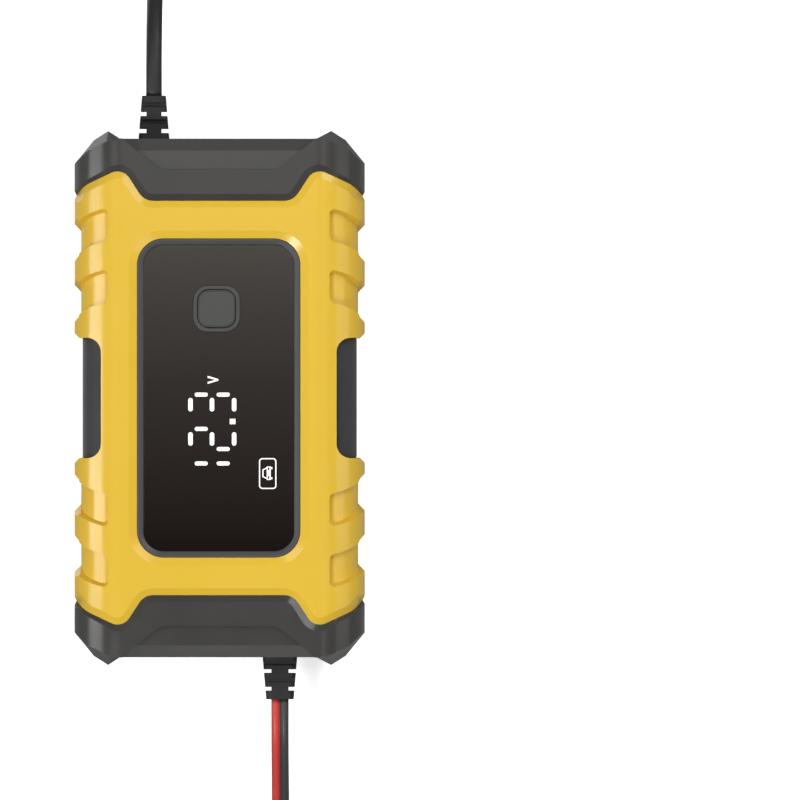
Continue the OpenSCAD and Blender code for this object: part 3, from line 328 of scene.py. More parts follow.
def gloss_window_painted_reflection(name, deep, pale, low, high, bend=(0.55, 0.42)):
    """Smoked gloss window whose colour is painted paler towards its high end, as a painted reflection.

    low and high are its ends along Y, deep is the dark glass and pale the painted reflection at the high end, and bend
    is a share of the way and of the painted paleness there.
    """
    s = Shader(name, deep, roughness=0.05)
    apart = s.nodes.new("ShaderNodeSeparateXYZ")
    s.links.new(s.coords.outputs["Object"], apart.inputs["Vector"])
    along = s.nodes.new("ShaderNodeMapRange")
    along.inputs["From Min"].default_value = low
    along.inputs["From Max"].default_value = high
    s.links.new(apart.outputs["Y"], along.inputs["Value"])
    # painted reflection: the colour runs from the dark glass at the low end to a paler painted reflection at the high
    # end
    ramp = s.nodes.new("ShaderNodeValToRGB")
    first, last = ramp.color_ramp.elements
    first.color, last.color = deep, pale
    painted_middle_colour = [a + (b - a) * bend[1] for a, b in zip(deep, pale)]
    ramp.color_ramp.elements.new(bend[0]).color = painted_middle_colour
    s.links.new(along.outputs["Result"], ramp.inputs["Fac"])
    s.links.new(ramp.outputs["Color"], s.main.inputs["Base Color"])
    s.vary_gloss(s.noise(scale=14), less=0.01, more=0.02)
    s.grain(s.noise(scale=70, detail=2), depth=0.000004, strength=0.3)
    return s.material


def lit_mark(name, base):
    """A mark that glows a little by itself."""
    s = Shader(name, base)
    s.main.inputs["Emission Color"].default_value = s.base
    s.main.inputs["Emission Strength"].default_value = 0.35
    s.mottle(s.noise(scale=500, detail=2), spread=0.02)
    return s.material


def steel(name, base, roughness, stretch=(1, 1, 1)):
    """Bright plated or pressed metal with fine drawn lines."""
    s = Shader(name, base, roughness, metallic=0.75)
    lines = s.noise(scale=400, rough=0.6, stretch=stretch)
    s.mottle(s.noise(scale=60), spread=0.06)
    s.vary_gloss(lines, less=0.08, more=0.10)
    s.grain(lines, depth=0.00001, strength=0.5)
    return s.material


def varnished(name, base, roughness):
    """Solder mask, lacquered windings and component cases."""
    s = Shader(name, base, roughness)
    s.mottle(s.noise(scale=900), spread=0.18)
    s.vary_gloss(s.noise(scale=200, detail=2), less=0.05, more=0.08)
    s.grain(s.noise(scale=900, detail=2), depth=0.00002, strength=0.5)
    return s.material


def key_top(name, base, centre):
    """Key plastic with fine turned rings round its middle."""
    s = Shader(name, base, roughness=0.45)
    s.mottle(s.noise(scale=120), spread=0.04)
    rings = s.nodes.new("ShaderNodeTexWave")
    rings.wave_type = "RINGS"
    rings.rings_direction = "Z"
    rings.inputs["Scale"].default_value = 330
    rings.inputs["Distortion"].default_value = 0.4
    s.links.new(s.place(shift=-centre), rings.inputs["Vector"])
    s.grain(rings.outputs["Fac"], depth=0.00003, strength=0.5)
    s.grain(s.noise(scale=2200, detail=2), depth=0.00002, strength=0.5)
    return s.material


MATERIALS = {}


def finish_of(kind):
    """The material of that kind, made once."""
    if kind in MATERIALS:
        return MATERIALS[kind]
    c = colours()
    makers = {
        "yellow": lambda: moulded(
            "yellow shell plastic", c.yellow, 0.21, spark=0.00001, spread=0.015, specular=0.6
        ),
        "cap": lambda: moulded("cap plastic", c.cap, 0.22, spread=0.05, specular=0.7),
        "pad": lambda: rubbery("soft pad", c.pad),
        "bezel": lambda: moulded("bezel plastic", c.bezel, spread=0.03),
        "ring": lambda: moulded("key ring plastic", c.key, spread=0.03),
        "key": lambda: key_top("key plastic", c.key, middle("mode_button")),
        # the window's colour is graded along Y from its own dark to a painted reflection
        "window": lambda: gloss_window_painted_reflection(
            "display window", c.window, c.window_painted_reflection, *ends_along_y("display_window")
        ),
        "mark": lambda: lit_mark("lit mark", c.mark),
        "jacket": lambda: rubbery("mains cord jacket", c.jacket, 0.5),
        "relief": lambda: rubbery("strain relief rubber", c.relief, 0.55, grain=0.00004),
        "red_core": lambda: rubbery("red core", c.red, 0.42, grain=0.00001),
        "black_core": lambda: rubbery("black core", c.black, 0.42, grain=0.00001),
        "red_grip": lambda: moulded("red grip", c.red, 0.4, spark=0.00003, spread=0.04),
        "black_grip": lambda: moulded("black grip", c.black, 0.4, spark=0.00003, spread=0.04),
        "label_edge": lambda: moulded(
            "label frame plastic", c.label_edge, 0.5, spark=0.00004, spread=0.04
        ),
        "label": lambda: moulded("label sheet", c.label, 0.45, spark=0.00001, spread=0.06),
        "screw": lambda: steel("screw steel", srgb(222, 223, 225), 0.34),
        "jaw": lambda: steel("jaw steel", srgb(190, 192, 196), 0.34, stretch=(1, 6, 1)),
        "wire": lambda: steel("spring wire", srgb(150, 152, 158), 0.3),
        "brass": lambda: steel("blade brass", srgb(205, 176, 110), 0.27, stretch=(1, 5, 1)),
        "board": lambda: varnished("circuit board", srgb(28, 92, 58), 0.35),
        "dark_part": lambda: varnished("moulded component", srgb(38, 38, 40), 0.5),
        "brown_part": lambda: varnished("lacquered part", srgb(140, 84, 44), 0.3),
        "yellow_part": lambda: varnished("film case and tape", srgb(214, 176, 66), 0.4),
        "blue_part": lambda: varnished("capacitor sleeve", srgb(44, 56, 88), 0.25),
        "ferrite": lambda: varnished("ferrite", srgb(58, 58, 62), 0.6),
        "aluminium": lambda: steel(
            "heatsink aluminium", srgb(200, 203, 207), 0.35, stretch=(1, 1, 8)
        ),
        "reflector": lambda: varnished("digit reflector", srgb(228, 226, 220), 0.5),
    }
    MATERIALS[kind] = makers[kind]()
    return MATERIALS[kind]


# ---------------------------------------------------------------- pieces


def add_object(name, data):
    thing = bpy.data.objects.new(name, data)
    bpy.context.scene.collection.objects.link(thing)
    return thing


def mesh_from(bm, name):
    """A mesh of a bmesh, which is freed."""
    mesh = bpy.data.meshes.new(name)
    bm.to_mesh(mesh)
    bm.free()
    return mesh


def baked(thing):
    """A plain mesh of an object with its modifiers applied."""
    bpy.context.view_layer.update()
    evaluated = thing.evaluated_get(bpy.context.evaluated_depsgraph_get())
    return bpy.data.meshes.new_from_object(evaluated)


def new_piece(name, mesh, body, slot, replaces=(), kinds=()):
    """A finished piece at the origin, riding on a body, with its materials and record slot."""
    piece = add_object(name, mesh)
    for kind in kinds:
        mesh.materials.append(finish_of(kind))
    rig.ride(piece, body)
    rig.slot(piece, slot)
    if replaces:
        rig.replaces(piece, *replaces)
    return piece


def body_with(node):
    for body, nodes in frame["record"]["behaviour"]["bodies"].items():
        if node in nodes:
            return body
    raise RuntimeError(f"no body holds {node}")


def slot_of(node):
    for part in frame["record"]["subparts"]:
        if part["node"] == node:
            return part["material_slot"]
    raise RuntimeError(f"no slot for {node}")


JOIN_NEAR, JOIN_NEAR_SOFT = 2e-6, 4e-5  # a soft piece also loses its shortest edges
FLAT_DEGREES = 0.6


def merged_copy(node, near=JOIN_NEAR):
    """A copy of a CAD node's mesh in the shared frame, its triangles joined into flat faces."""
    source = NODES[node]
    mesh = source.data.copy()
    mesh.materials.clear()
    bm = bmesh.new()
    bm.from_mesh(mesh)
    bm.transform(source.matrix_world)
    bmesh.ops.remove_doubles(bm, verts=bm.verts, dist=near)
    bmesh.ops.dissolve_degenerate(bm, edges=bm.edges, dist=near)
    bmesh.ops.dissolve_limit(
        bm, angle_limit=math.radians(FLAT_DEGREES), verts=bm.verts, edges=bm.edges,
        delimit={"NORMAL"},
    )
    bm.to_mesh(mesh)
    bm.free()
    return mesh


SHARP_DEGREES = 32  # faces that meet at more than this make a sharp edge
SHARP_DEGREES_SCREW = 30
SHARP_DEGREES_SPRING = 50


def smooth_by_angle(mesh, degrees):
    mesh.shade_smooth()
    mesh.set_sharp_from_angle(angle=math.radians(degrees))


def round_edges(piece, radius, segments, degrees):
    """Rounds the sharp edges of a piece by a live bevel."""
    mod = piece.modifiers.new("rounded edges", "BEVEL")
    mod.width = radius
    mod.segments = segments
    mod.limit_method = "ANGLE"
    mod.angle_limit = math.radians(degrees)
    mod.use_clamp_overlap = True
    even = piece.modifiers.new("flat faces stay flat", "WEIGHTED_NORMAL")
    even.mode = "FACE_AREA_WITH_ANGLE"
    even.weight = 80
    even.keep_sharp = True


HALF_W, HALF_H, MID_Z, SHOULDER_R = 0.0434, 0.0225, 0.0235, 0.015
SKINS = (0.0, 0.002, 0.0024)  # depths of the outside, of the pocket floors and of the pad faces
SKIN_NEAR = 0.00008  # a face this near to a skin's depth may belong to it
SKIN_LEAN, SLIVER_LEAN = 0.994, 0.5  # least cosine between its normal and the skin's
SLIVER_WIDTH = 3e-5


def skin(place):
    """Depth of a place under the housing's rounded section, and the outward direction there."""
    x = max(0.0, abs(place.x) - (HALF_W - SHOULDER_R))
    z = max(0.0, abs(place.z - MID_Z) - (HALF_H - SHOULDER_R))
    out = Vector((math.copysign(x, place.x), 0, math.copysign(z, place.z - MID_Z)))
    return SHOULDER_R - out.length, out.normalized()


def sliver(face):
    return face.calc_area() < SLIVER_WIDTH * max(edge.calc_length() for edge in face.edges)


def on_skin(face):
    """Whether a face is part of the rounded section or of a floor that runs beside it."""
    depth, out = skin(face.calc_center_median())
    if not any(abs(depth - s) < SKIN_NEAR for s in SKINS):
        return False
    lean = out.dot(face.normal)
    return lean > SKIN_LEAN or (sliver(face) and lean > SLIVER_LEAN)


HARD_DEGREES, SOFT_DEGREES = 25, 8  # least corner away from the skins, and next to one
ROUNDED_DEGREES = 48  # least corner that is left once a piece's corners are rounded
CORNER_ROOM = 0.45  # share of the shortest edge that a rounded corner may take


def is_corner(edge, flush, hard, soft):
    """Whether the eye sees an edge as a corner: two faces of a skin never make one."""
    a, b = (flush[face.index] for face in edge.link_faces)
    limit = 180 if a and b else soft if a or b else hard
    return edge.calc_face_angle(0) > math.radians(limit)


def mark_corners(bm, radius):
    """Gives a bevel weight to the corners, less where there is little room."""
    weight = bm.edges.layers.float.new("bevel_weight_edge")
    bm.normal_update()
    flush = {face.index: on_skin(face) for face in bm.faces}
    room = {
        vert.index: min(edge.calc_length() for edge in vert.link_edges) * CORNER_ROOM / radius
        for vert in bm.verts
    }
    for edge in bm.edges:
        if is_corner(edge, flush, HARD_DEGREES, SOFT_DEGREES):
            edge[weight] = min(1.0, *(room[vert.index] for vert in edge.verts))


def fans(vert, flush, hard, soft):
    """The face corners at a vertex, in groups that no hard edge divides."""
    left = {loop.face: loop for loop in vert.link_loops}
    while left:
        fan, todo = [], [left.popitem()[1]]
        while todo:
            loop = todo.pop()
            fan.append(loop)
            for edge in (loop.edge, loop.link_loop_prev.edge):
                if not is_corner(edge, flush, hard, soft):
                    todo += [left.pop(face) for face in edge.link_faces if face in left]
        yield fan


def settle_normals(mesh, hard, soft):
    """Shades the skins as the true rounded section, and leans other rounds on larger faces."""
    bm = bmesh.new()
    bm.from_mesh(mesh)
    bm.normal_update()
    flush = {face.index: on_skin(face) for face in bm.faces}
    found = {}
    for vert in bm.verts:
        for fan in fans(vert, flush, hard, soft):
            if any(flush[loop.face.index] for loop in fan):
                normal = skin(vert.co)[1]
            else:
                normal = Vector()
                for loop in fan:
                    normal += loop.face.normal * loop.face.calc_area() * loop.calc_angle()
                normal.normalize()
            for loop in fan:
                found[(loop.face.index, vert.index)] = normal
    bm.free()
    mesh.shade_smooth()
    mesh.normals_split_custom_set(
        [
            found[(face.index, mesh.loops[k].vertex_index)]
            for face in mesh.polygons
            for k in face.loop_indices
        ]
    )


def with_round_corners(mesh, radius):
    """The mesh with its corners rounded."""
    bm = bmesh.new()
    bm.from_mesh(mesh)
    mark_corners(bm, radius)
    bm.to_mesh(mesh)
    bm.free()
    blank = add_object("blank", mesh)
    mod = blank.modifiers.new("rounded corners", "BEVEL")
    mod.width = radius
    mod.segments = 3
    mod.limit_method = "WEIGHT"
    mod.use_clamp_overlap = False
    rounded = baked(blank)
    bpy.data.objects.remove(blank)
    return rounded


def dressed(node, mesh, kind):
    """The piece that stands for a CAD node, made of its dressed mesh."""
    return new_piece(node + "_piece", mesh, body_with(node), slot_of(node), [node], [kind])


def dress_moulding(node, kind, radius=0.0):
    """Replaces a moulding by a copy that is shaded as the true rounded section.

    A radius rounds its corners, as on the soft pads.
    """
    if radius:
        mesh = with_round_corners(merged_copy(node, JOIN_NEAR_SOFT), radius)
        settle_normals(mesh, ROUNDED_DEGREES, ROUNDED_DEGREES)
    else:
        mesh = merged_copy(node)
        settle_normals(mesh, HARD_DEGREES, SOFT_DEGREES)
    return dressed(node, mesh, kind)


def dress(node, kind, radius=0.0, segments=2, degrees=SHARP_DEGREES):
    """Replaces a CAD node by a copy with rounded edges and a finish."""
    mesh = merged_copy(node)
    smooth_by_angle(mesh, degrees)
    piece = dressed(node, mesh, kind)
    if radius:
        round_edges(piece, radius, segments, degrees)
    return piece


def finish_node(node, kind):
    """Keeps a CAD node and gives it a finish."""
    slots = NODES[node].material_slots
    if not slots:
        NODES[node].data.materials.append(finish_of(kind))
    for s in slots:
        s.material = finish_of(kind)


def middle(node):
    low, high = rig.box(node)
    return (Vector(low) + Vector(high)) / 2


def ends_along_y(node):
    return [corner[1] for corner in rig.box(node)]


# ---------------------------------------------------------------- cords

CURVE_STEPS = 12  # straight bits between two given points, before they are evened out
UV_PER_METRE = 100


def curve_through(points, step):
    """Points a step apart on a smooth curve through the given ones."""
    pts = [Vector(p) for p in points]
    dense = []
    for i in range(len(pts) - 1):
        a = pts[i - 1] if i else pts[0] * 2 - pts[1]
        b, c = pts[i], pts[i + 1]
        d = pts[i + 2] if i + 2 < len(pts) else pts[-1] * 2 - pts[-2]
        second, third = 2 * a - 5 * b + 4 * c - d, 3 * b - 3 * c + d - a
        for k in range(CURVE_STEPS):
            t = k / CURVE_STEPS
            dense.append(0.5 * (2 * b + (c - a) * t + second * t * t + third * t ** 3))
    dense.append(pts[-1])
    walk = [0.0]
    for i in range(1, len(dense)):
        walk.append(walk[-1] + (dense[i] - dense[i - 1]).length)
    count = max(2, round(walk[-1] / step))
    out, j = [], 0
    for n in range(count + 1):
        want = walk[-1] * n / count
        while j < len(walk) - 2 and walk[j + 1] < want:
            j += 1
        span = walk[j + 1] - walk[j]
        out.append(dense[j].lerp(dense[j + 1], (want - walk[j]) / span if span else 0))
    return out


def path_length(points):
    return sum((b - a).length for a, b in zip(points, points[1:]))


def swept(points, section, parts=None):
    """Tube mesh: the section's (across, up) points carried along a path, with closed ends.

    parts gives the material index of each side of the section.
    """
    bm = bmesh.new()
    uv = bm.loops.layers.uv.new("along")
    rings, run = [], [0.0]
    for i, p in enumerate(points):
        ahead = points[min(i + 1, len(points) - 1)] - points[max(i - 1, 0)]
        t = ahead.normalized()
        across = Vector((0, 0, 1)).cross(t).normalized()
        up = t.cross(across)
        rings.append([bm.verts.new(p + across * a + up * b) for a, b in section])
        if i:
            run.append(run[-1] + (p - points[i - 1]).length)
    n = len(section)
    for i in range(len(rings) - 1):
        for k in range(n):
            m = (k + 1) % n
            face = bm.faces.new((rings[i][k], rings[i][m], rings[i + 1][m], rings[i + 1][k]))
            face.smooth = True
            face.material_index = parts[k] if parts else 0
            for loop, (u, v) in zip(
                face.loops,
                ((run[i], k), (run[i], k + 1), (run[i + 1], k + 1), (run[i + 1], k)),
            ):
                loop[uv].uv = (u * UV_PER_METRE, v / n)
    bm.faces.new(list(reversed(rings[0])))
    bm.faces.new(rings[-1])
    bmesh.ops.recalc_face_normals(bm, faces=bm.faces)
    return mesh_from(bm, "swept")


def round_section(diameter, sides=16):
    r = diameter / 2
    angles = [2 * math.pi * (k + 0.5) / sides for k in range(sides)]
    return [(r * math.cos(a), r * math.sin(a)) for a in angles]


def twin_section(core, sides=20, web=0.32):
    """Two round cores side by side, joined by a thin web, whose share of a core web gives.

    Also the material index of each side of the section.
    """
    r = core / 2
    start = math.asin(web)
    out, parts = [], []
    for side, part in ((1, 1), (-1, 0)):
        for k in range(sides + 1):
            a = -math.pi + start + (2 * math.pi - 2 * start) * k / sides
            if side < 0:
                a += math.pi
            out.append((side * r + r * math.cos(a), r * math.sin(a)))
            parts.append(part)
    return out, parts


def ease(t):
    """A smooth step from 0 to 1."""
    return 0 if t <= 0 else 1 if t >= 1 else t * t * (3 - 2 * t)


COIL_STEPS = 60  # points on each turn of a coil


def coil_points(centre, start, turns, layers, r_out, pitch, z0, layer_h):
    """The piled coil of the cord solids: in and out at a steady rate, climbing as it reverses."""
    per = turns / layers
    steps = math.ceil(COIL_STEPS * turns)
    out = []
    for i in range(steps + 1):
        turn = turns * i / steps
        k = turn / per
        saw = abs(k - 2 * math.floor(k / 2 + 0.5))
        r = r_out - saw * per * pitch
        up = sum(ease((turn - j * per) / 0.5 + 0.5) for j in range(1, layers))
        a = math.radians(start - 360 * turn)
        x, y = centre[0] + r * math.cos(a), centre[1] + r * math.sin(a)
        out.append(Vector((x * MM, y * MM, (z0 + layer_h * up) * MM)))
    return out


def metres(route):
    """Points in metres of a route in mm."""
    return [Vector(p) * MM for p in route]


# all in mm, as the cord solids have them
MAINS_D = 4.8
CORE_D = 2.6
COIL_LIFT = 0.8  # the tie's strap runs under the coil
TAIL_STEP = 0.8
MAINS_ROUTE = [
    (-19.8, 90.6, 23.5), (-19.8, 97, 23.5), (-19.8, 103, 22.8), (-19.8, 109, 20.8),
    (-19.8, 114.5, 17.6), (-19.8, 119.5, 13.6), (-19.8, 124.5, 9.6), (-19.8, 130, 6.3),
    (-19.8, 136, 4.1), (-19.8, 142.5, 3.3), (-19.8, 149.5, 3.2), (-19.8, 156.8, 3.2),
]
MAINS_TAIL = [
    (13.8, 190.12, 18.95), (18.6, 190.12, 18.95), (24, 190.12, 18.5), (29, 190.12, 17.4),
    (33.5, 190.12, 16.1), (38.5, 189.6, 14.2), (43.2, 187.7, 12.3), (47.2, 184.6, 10.5),
    (50.3, 180.6, 9), (52.3, 175.9, 7.9), (53, 170.9, 7.5), (53, 166.1, 7.5),
]
DC_ROUTE = [
    (18, -90.3, 23.5), (18, -96, 23.5), (18, -101, 22.8), (18, -106, 20.9), (18, -111, 17.8),
    (18, -116, 14.2), (18, -121, 10.6), (18, -126, 7.4), (18, -131, 4.9), (18, -136, 3.2),
    (18, -141, 2.3), (18, -146, 2.1), (18, -150.8, 2.1),
]
DC_END = [(-11.9, -126.1, 5.3), (-6.8, -126.1, 5.3)]
RED_TAIL = [
    (5.4, -127.4, 5.3), (8.2, -127.4, 5.3), (11, -127.4, 4.5), (14, -127.4, 3),
    (17.5, -127.5, 1.7), (21, -128, 1.3), (25, -129.2, 1.3), (28.5, -131.3, 1.3),
    (31.2, -134, 1.5), (33, -137.4, 2.1), (33.8, -141.1, 3.1), (34, -144.4, 3.8),
    (34, -147.4, 3.38),
]
BLACK_TAIL = [
    (5.4, -124.8, 5.3), (8.2, -124.8, 5.3), (11, -124.8, 4.5), (14, -124.8, 3),
    (17.5, -124.8, 1.7), (22, -124.8, 1.3), (28, -124.8, 1.3), (34, -125.2, 1.3),
    (40, -126.6, 1.3), (45, -129.4, 1.3), (48.6, -133.1, 1.5), (50.9, -137.2, 2.1),
    (51.8, -141.1, 3.1), (52, -144.4, 3.8), (52, -147.4, 3.38),
]
MAINS_COIL = dict(
    centre=(8.9, 161.6), start=180, turns=6.25, layers=4, r_out=28.7, pitch=MAINS_D + 0.55,
    z0=COIL_LIFT + MAINS_D / 2, layer_h=MAINS_D + 0.45,
)
DC_COIL = dict(
    centre=(-11.9, -156), start=0, turns=2.75, layers=2, r_out=29.9, pitch=2 * CORE_D + 1,
    z0=COIL_LIFT + CORE_D / 2, layer_h=CORE_D + 0.6,
)


def wound_path(route, coil, tail=()):
    """The whole way of a cord: its free stretch, its coil and its tail, as one smooth curve."""
    step = sizes().cord_step
    points = curve_through(metres(route), step)
    points += coil_points(**coil)
    points += curve_through(metres(tail), step) if tail else []
    return points


def lay_cord(name, points, section, parts, kinds, slot, replaced):
    return new_piece(name, swept(points, section, parts), "housing", slot, replaced, kinds)


# ---------------------------------------------------------------- geometry nodes


def node_tree(name, inputs):
    """An empty geometry tree with named inputs of the given socket types."""
    tree = bpy.data.node_groups.new(name, "GeometryNodeTree")
    tree.interface.new_socket("Geometry", in_out="INPUT", socket_type="NodeSocketGeometry")
    for label, kind in inputs.items():
        tree.interface.new_socket(label, in_out="INPUT", socket_type=kind)
    tree.interface.new_socket("Geometry", in_out="OUTPUT", socket_type="NodeSocketGeometry")
    return tree, tree.nodes.new("NodeGroupInput"), tree.nodes.new("NodeGroupOutput")


def repeated(name, points, mesh, material):
    """A plain mesh of the given one repeated at each point, made by a geometry tree."""
    template = add_object("template", mesh)
    given_values = {"Template": template, "Material": material}
    tree, given, result = node_tree(
        name + " tree", {"Template": "NodeSocketObject", "Material": "NodeSocketMaterial"}
    )
    new, link = tree.nodes.new, tree.links.new
    info = new("GeometryNodeObjectInfo")
    at = new("GeometryNodeInstanceOnPoints")
    real = new("GeometryNodeRealizeInstances")
    paint = new("GeometryNodeSetMaterial")
    link(given.outputs["Template"], info.inputs["Object"])
    link(given.outputs["Geometry"], at.inputs["Points"])
    link(info.outputs["Geometry"], at.inputs["Instance"])
    link(at.outputs["Instances"], real.inputs["Geometry"])
    link(real.outputs["Geometry"], paint.inputs["Geometry"])
    link(given.outputs["Material"], paint.inputs["Material"])
    link(paint.outputs["Geometry"], result.inputs["Geometry"])
    carrier_mesh = bpy.data.meshes.new(name + " points")
    carrier_mesh.from_pydata([tuple(p) for p in points], [], [])
    carrier = add_object(name + " points", carrier_mesh)
    mod = carrier.modifiers.new("repeat", "NODES")
    mod.node_group = tree
    for item in tree.interface.items_tree:
        if item.in_out == "INPUT" and item.name in given_values:
            mod[item.identifier] = given_values[item.name]
    done = baked(carrier)
    bpy.data.objects.remove(carrier)
    bpy.data.objects.remove(template)
    return done


# ---------------------------------------------------------------- shapes


def prism(outline, low, high):
    """Upright prism of a flat outline."""
    bm = bmesh.new()
    base = [bm.verts.new((x, y, low)) for x, y in outline]
    face = bm.faces.new(base)
    grown = bmesh.ops.extrude_face_region(bm, geom=[face])
    top = [g for g in grown["geom"] if isinstance(g, bmesh.types.BMVert)]
    bmesh.ops.translate(bm, verts=top, vec=(0, 0, high - low))
    bmesh.ops.recalc_face_normals(bm, faces=bm.faces)
    return mesh_from(bm, "prism")


def joined(meshes):
    """One mesh of several, which are removed."""
    out = bmesh.new()
    for mesh in meshes:
        out.from_mesh(mesh)
        bpy.data.meshes.remove(mesh)
    return mesh_from(out, "joined")


def box_outline(x1, x2, y1, y2):
    return [(x1, y1), (x2, y1), (x2, y2), (x1, y2)]


def rounded_box(cx, cy, w, h, r, steps=8):
    """Outline of a box with round corners."""
    out = []
    for q, (sx, sy) in enumerate(((1, 1), (-1, 1), (-1, -1), (1, -1))):
        for k in range(steps + 1):
            a = math.pi / 2 * (q + k / steps)
            x = cx + sx * (w / 2 - r) + r * math.cos(a)
            y = cy + sy * (h / 2 - r) + r * math.sin(a)
            out.append((x, y))
    return out


def pill(cx, cy, w, h, same=1e-6):
    """Outline of a stroke with round ends, across or along, with no point on its neighbour."""
    out = []
    for p in rounded_box(cx, cy, w, h, min(w, h) / 2, 6):
        if not out or math.dist(p, out[-1]) > same:
            out.append(p)
    if math.dist(out[0], out[-1]) < same:
        out.pop()
    return out


def in_metres(outline):
    """Corners in metres of an outline in mm."""
    return [(x * MM, y * MM) for x, y in outline]


def band(outer, inner, low, high):
    """Upright ring between two outlines with the same number of points."""
    bm = bmesh.new()
    n = len(outer)
    rings = [
        [bm.verts.new((x, y, z)) for x, y in o]
        for o, z in ((outer, low), (outer, high), (inner, high), (inner, low))
    ]
    for a, b in zip(rings, rings[1:] + rings[:1]):
        for k in range(n):
            m = (k + 1) % n
            bm.faces.new((a[k], a[m], b[m], b[k]))
    bmesh.ops.recalc_face_normals(bm, faces=bm.faces)
    return mesh_from(bm, "band")


# ---------------------------------------------------------------- operators


class ChargerOperator(bpy.types.Operator):
    """One piece or group of pieces of the charger"""

    bl_options = {"REGISTER", "UNDO"}

    def execute(self, context):
        self.make()
        return {"FINISHED"}


class CHARGER_OT_stage(ChargerOperator):
    """Floor, lights, world and camera"""

    bl_idname = "charger.stage"
    bl_label = "Stage"

    def make(self):
        make_camera()
        make_floor()
        make_lights()
        make_world()


class CHARGER_OT_mains_cord(ChargerOperator):
    """Round mains cord with its coil, strap, plug and blades"""

    bl_idname = "charger.mains_cord"
    bl_label = "Mains cord and plug"

    def make(self):
        make_mains_cord()


class CHARGER_OT_output_lead(ChargerOperator):
    """Twin output lead with its coil, strap and splitter, and the two single cores"""

    bl_idname = "charger.output_lead"
    bl_label = "Output lead"

    def make(self):
        make_output_lead()


class CHARGER_OT_housing(ChargerOperator):
    """Shells, end caps, side pads and strain reliefs"""

    bl_idname = "charger.housing"
    bl_label = "Housing"

    def make(self):
        make_housing()


class CHARGER_OT_display(ChargerOperator):
    """Bezel, window, digits, mode marks, key and its ring"""

    bl_idname = "charger.display"
    bl_label = "Display and key"

    def make(self):
        make_display()


class CHARGER_OT_rear(ChargerOperator):
    """Label frame, bare label and the housing screws"""

    bl_idname = "charger.rear"
    bl_label = "Rear label and screws"

    def make(self):
        make_rear()


class CHARGER_OT_clips(ChargerOperator):
    """Jaws, pins, springs and grips of the two battery clips"""

    bl_idname = "charger.clips"
    bl_label = "Battery clips"

    def make(self):
        make_clips()


class CHARGER_OT_inside(ChargerOperator):
    """Boards and components"""

    bl_idname = "charger.inside"
    bl_label = "Boards and components"

    def make(self):
        make_inside()


# ---------------------------------------------------------------- stage

VIEW_CENTRE = Vector((0.054, -0.0006, 0.023))
VIEW_DISTANCE = 3.0
VIEW_WIDTH = 0.24
SENSOR_WIDTH = 36
FLOOR_REACH, FLOOR_DROP = 6, 0.0003
FLOOR_BOUNCE, FLOOR_SEEN = 0.22, 0.93  # how pale it is to other rays and to the camera's
FLOOR_LIFT = 0.6  # its glow, for the camera alone
WORLD_LIGHT = 0.1  # what other rays meet where the camera sees plain white
LIGHT_TARGET = (0, 0, 0.02)
FRONT_LIGHTS = (  # name, place, side and power
    ("front right", (0.92, 0.92, 2.2), 1.2, 9.0),
    ("front left", (-0.92, 0.92, 2.2), 1.2, 9.5),
    ("front key", (-0.92, -0.92, 2.2), 0.45, 25.0),
    ("front low", (0.92, -0.92, 2.2), 1.2, 7.0),
    ("front sheen", (0.0, 0.4, 2.6), 0.6, 1.2),
)
STRIPS = (  # low lights that the rounded shoulders mirror
    ("left strip", (-0.75, 0.0, 0.31), (0.15, 0.5), 1.45),
    ("right strip", (0.75, 0.0, 0.31), (0.15, 0.5), 0.35),
    ("low strip", (0.0, -0.8, 0.31), (0.5, 0.15), 0.27),
    ("high strip", (0.0, 0.8, 0.31), (0.5, 0.15), 0.13),
)
FILLS = (
    ("right fill", (0.65, 0.6, 0.5), (0.6, 0.6), 3.2),
    ("rear fill", (-0.55, 0.45, -1.1), (0.7, 0.7), 15.0),
    ("rear low", (0.6, -0.3, -0.9), (0.9, 0.9), 4.0),
)


def make_camera():
    data = bpy.data.cameras.new("camera")
    data.sensor_width = SENSOR_WIDTH
    data.lens = SENSOR_WIDTH * VIEW_DISTANCE / VIEW_WIDTH
    data.clip_start = 0.01
    data.clip_end = 20
    camera = add_object("camera", data)
    camera.location = VIEW_CENTRE + Vector((0, 0, VIEW_DISTANCE))
    bpy.context.scene.camera = camera
    bpy.context.scene.view_settings.view_transform = "Standard"


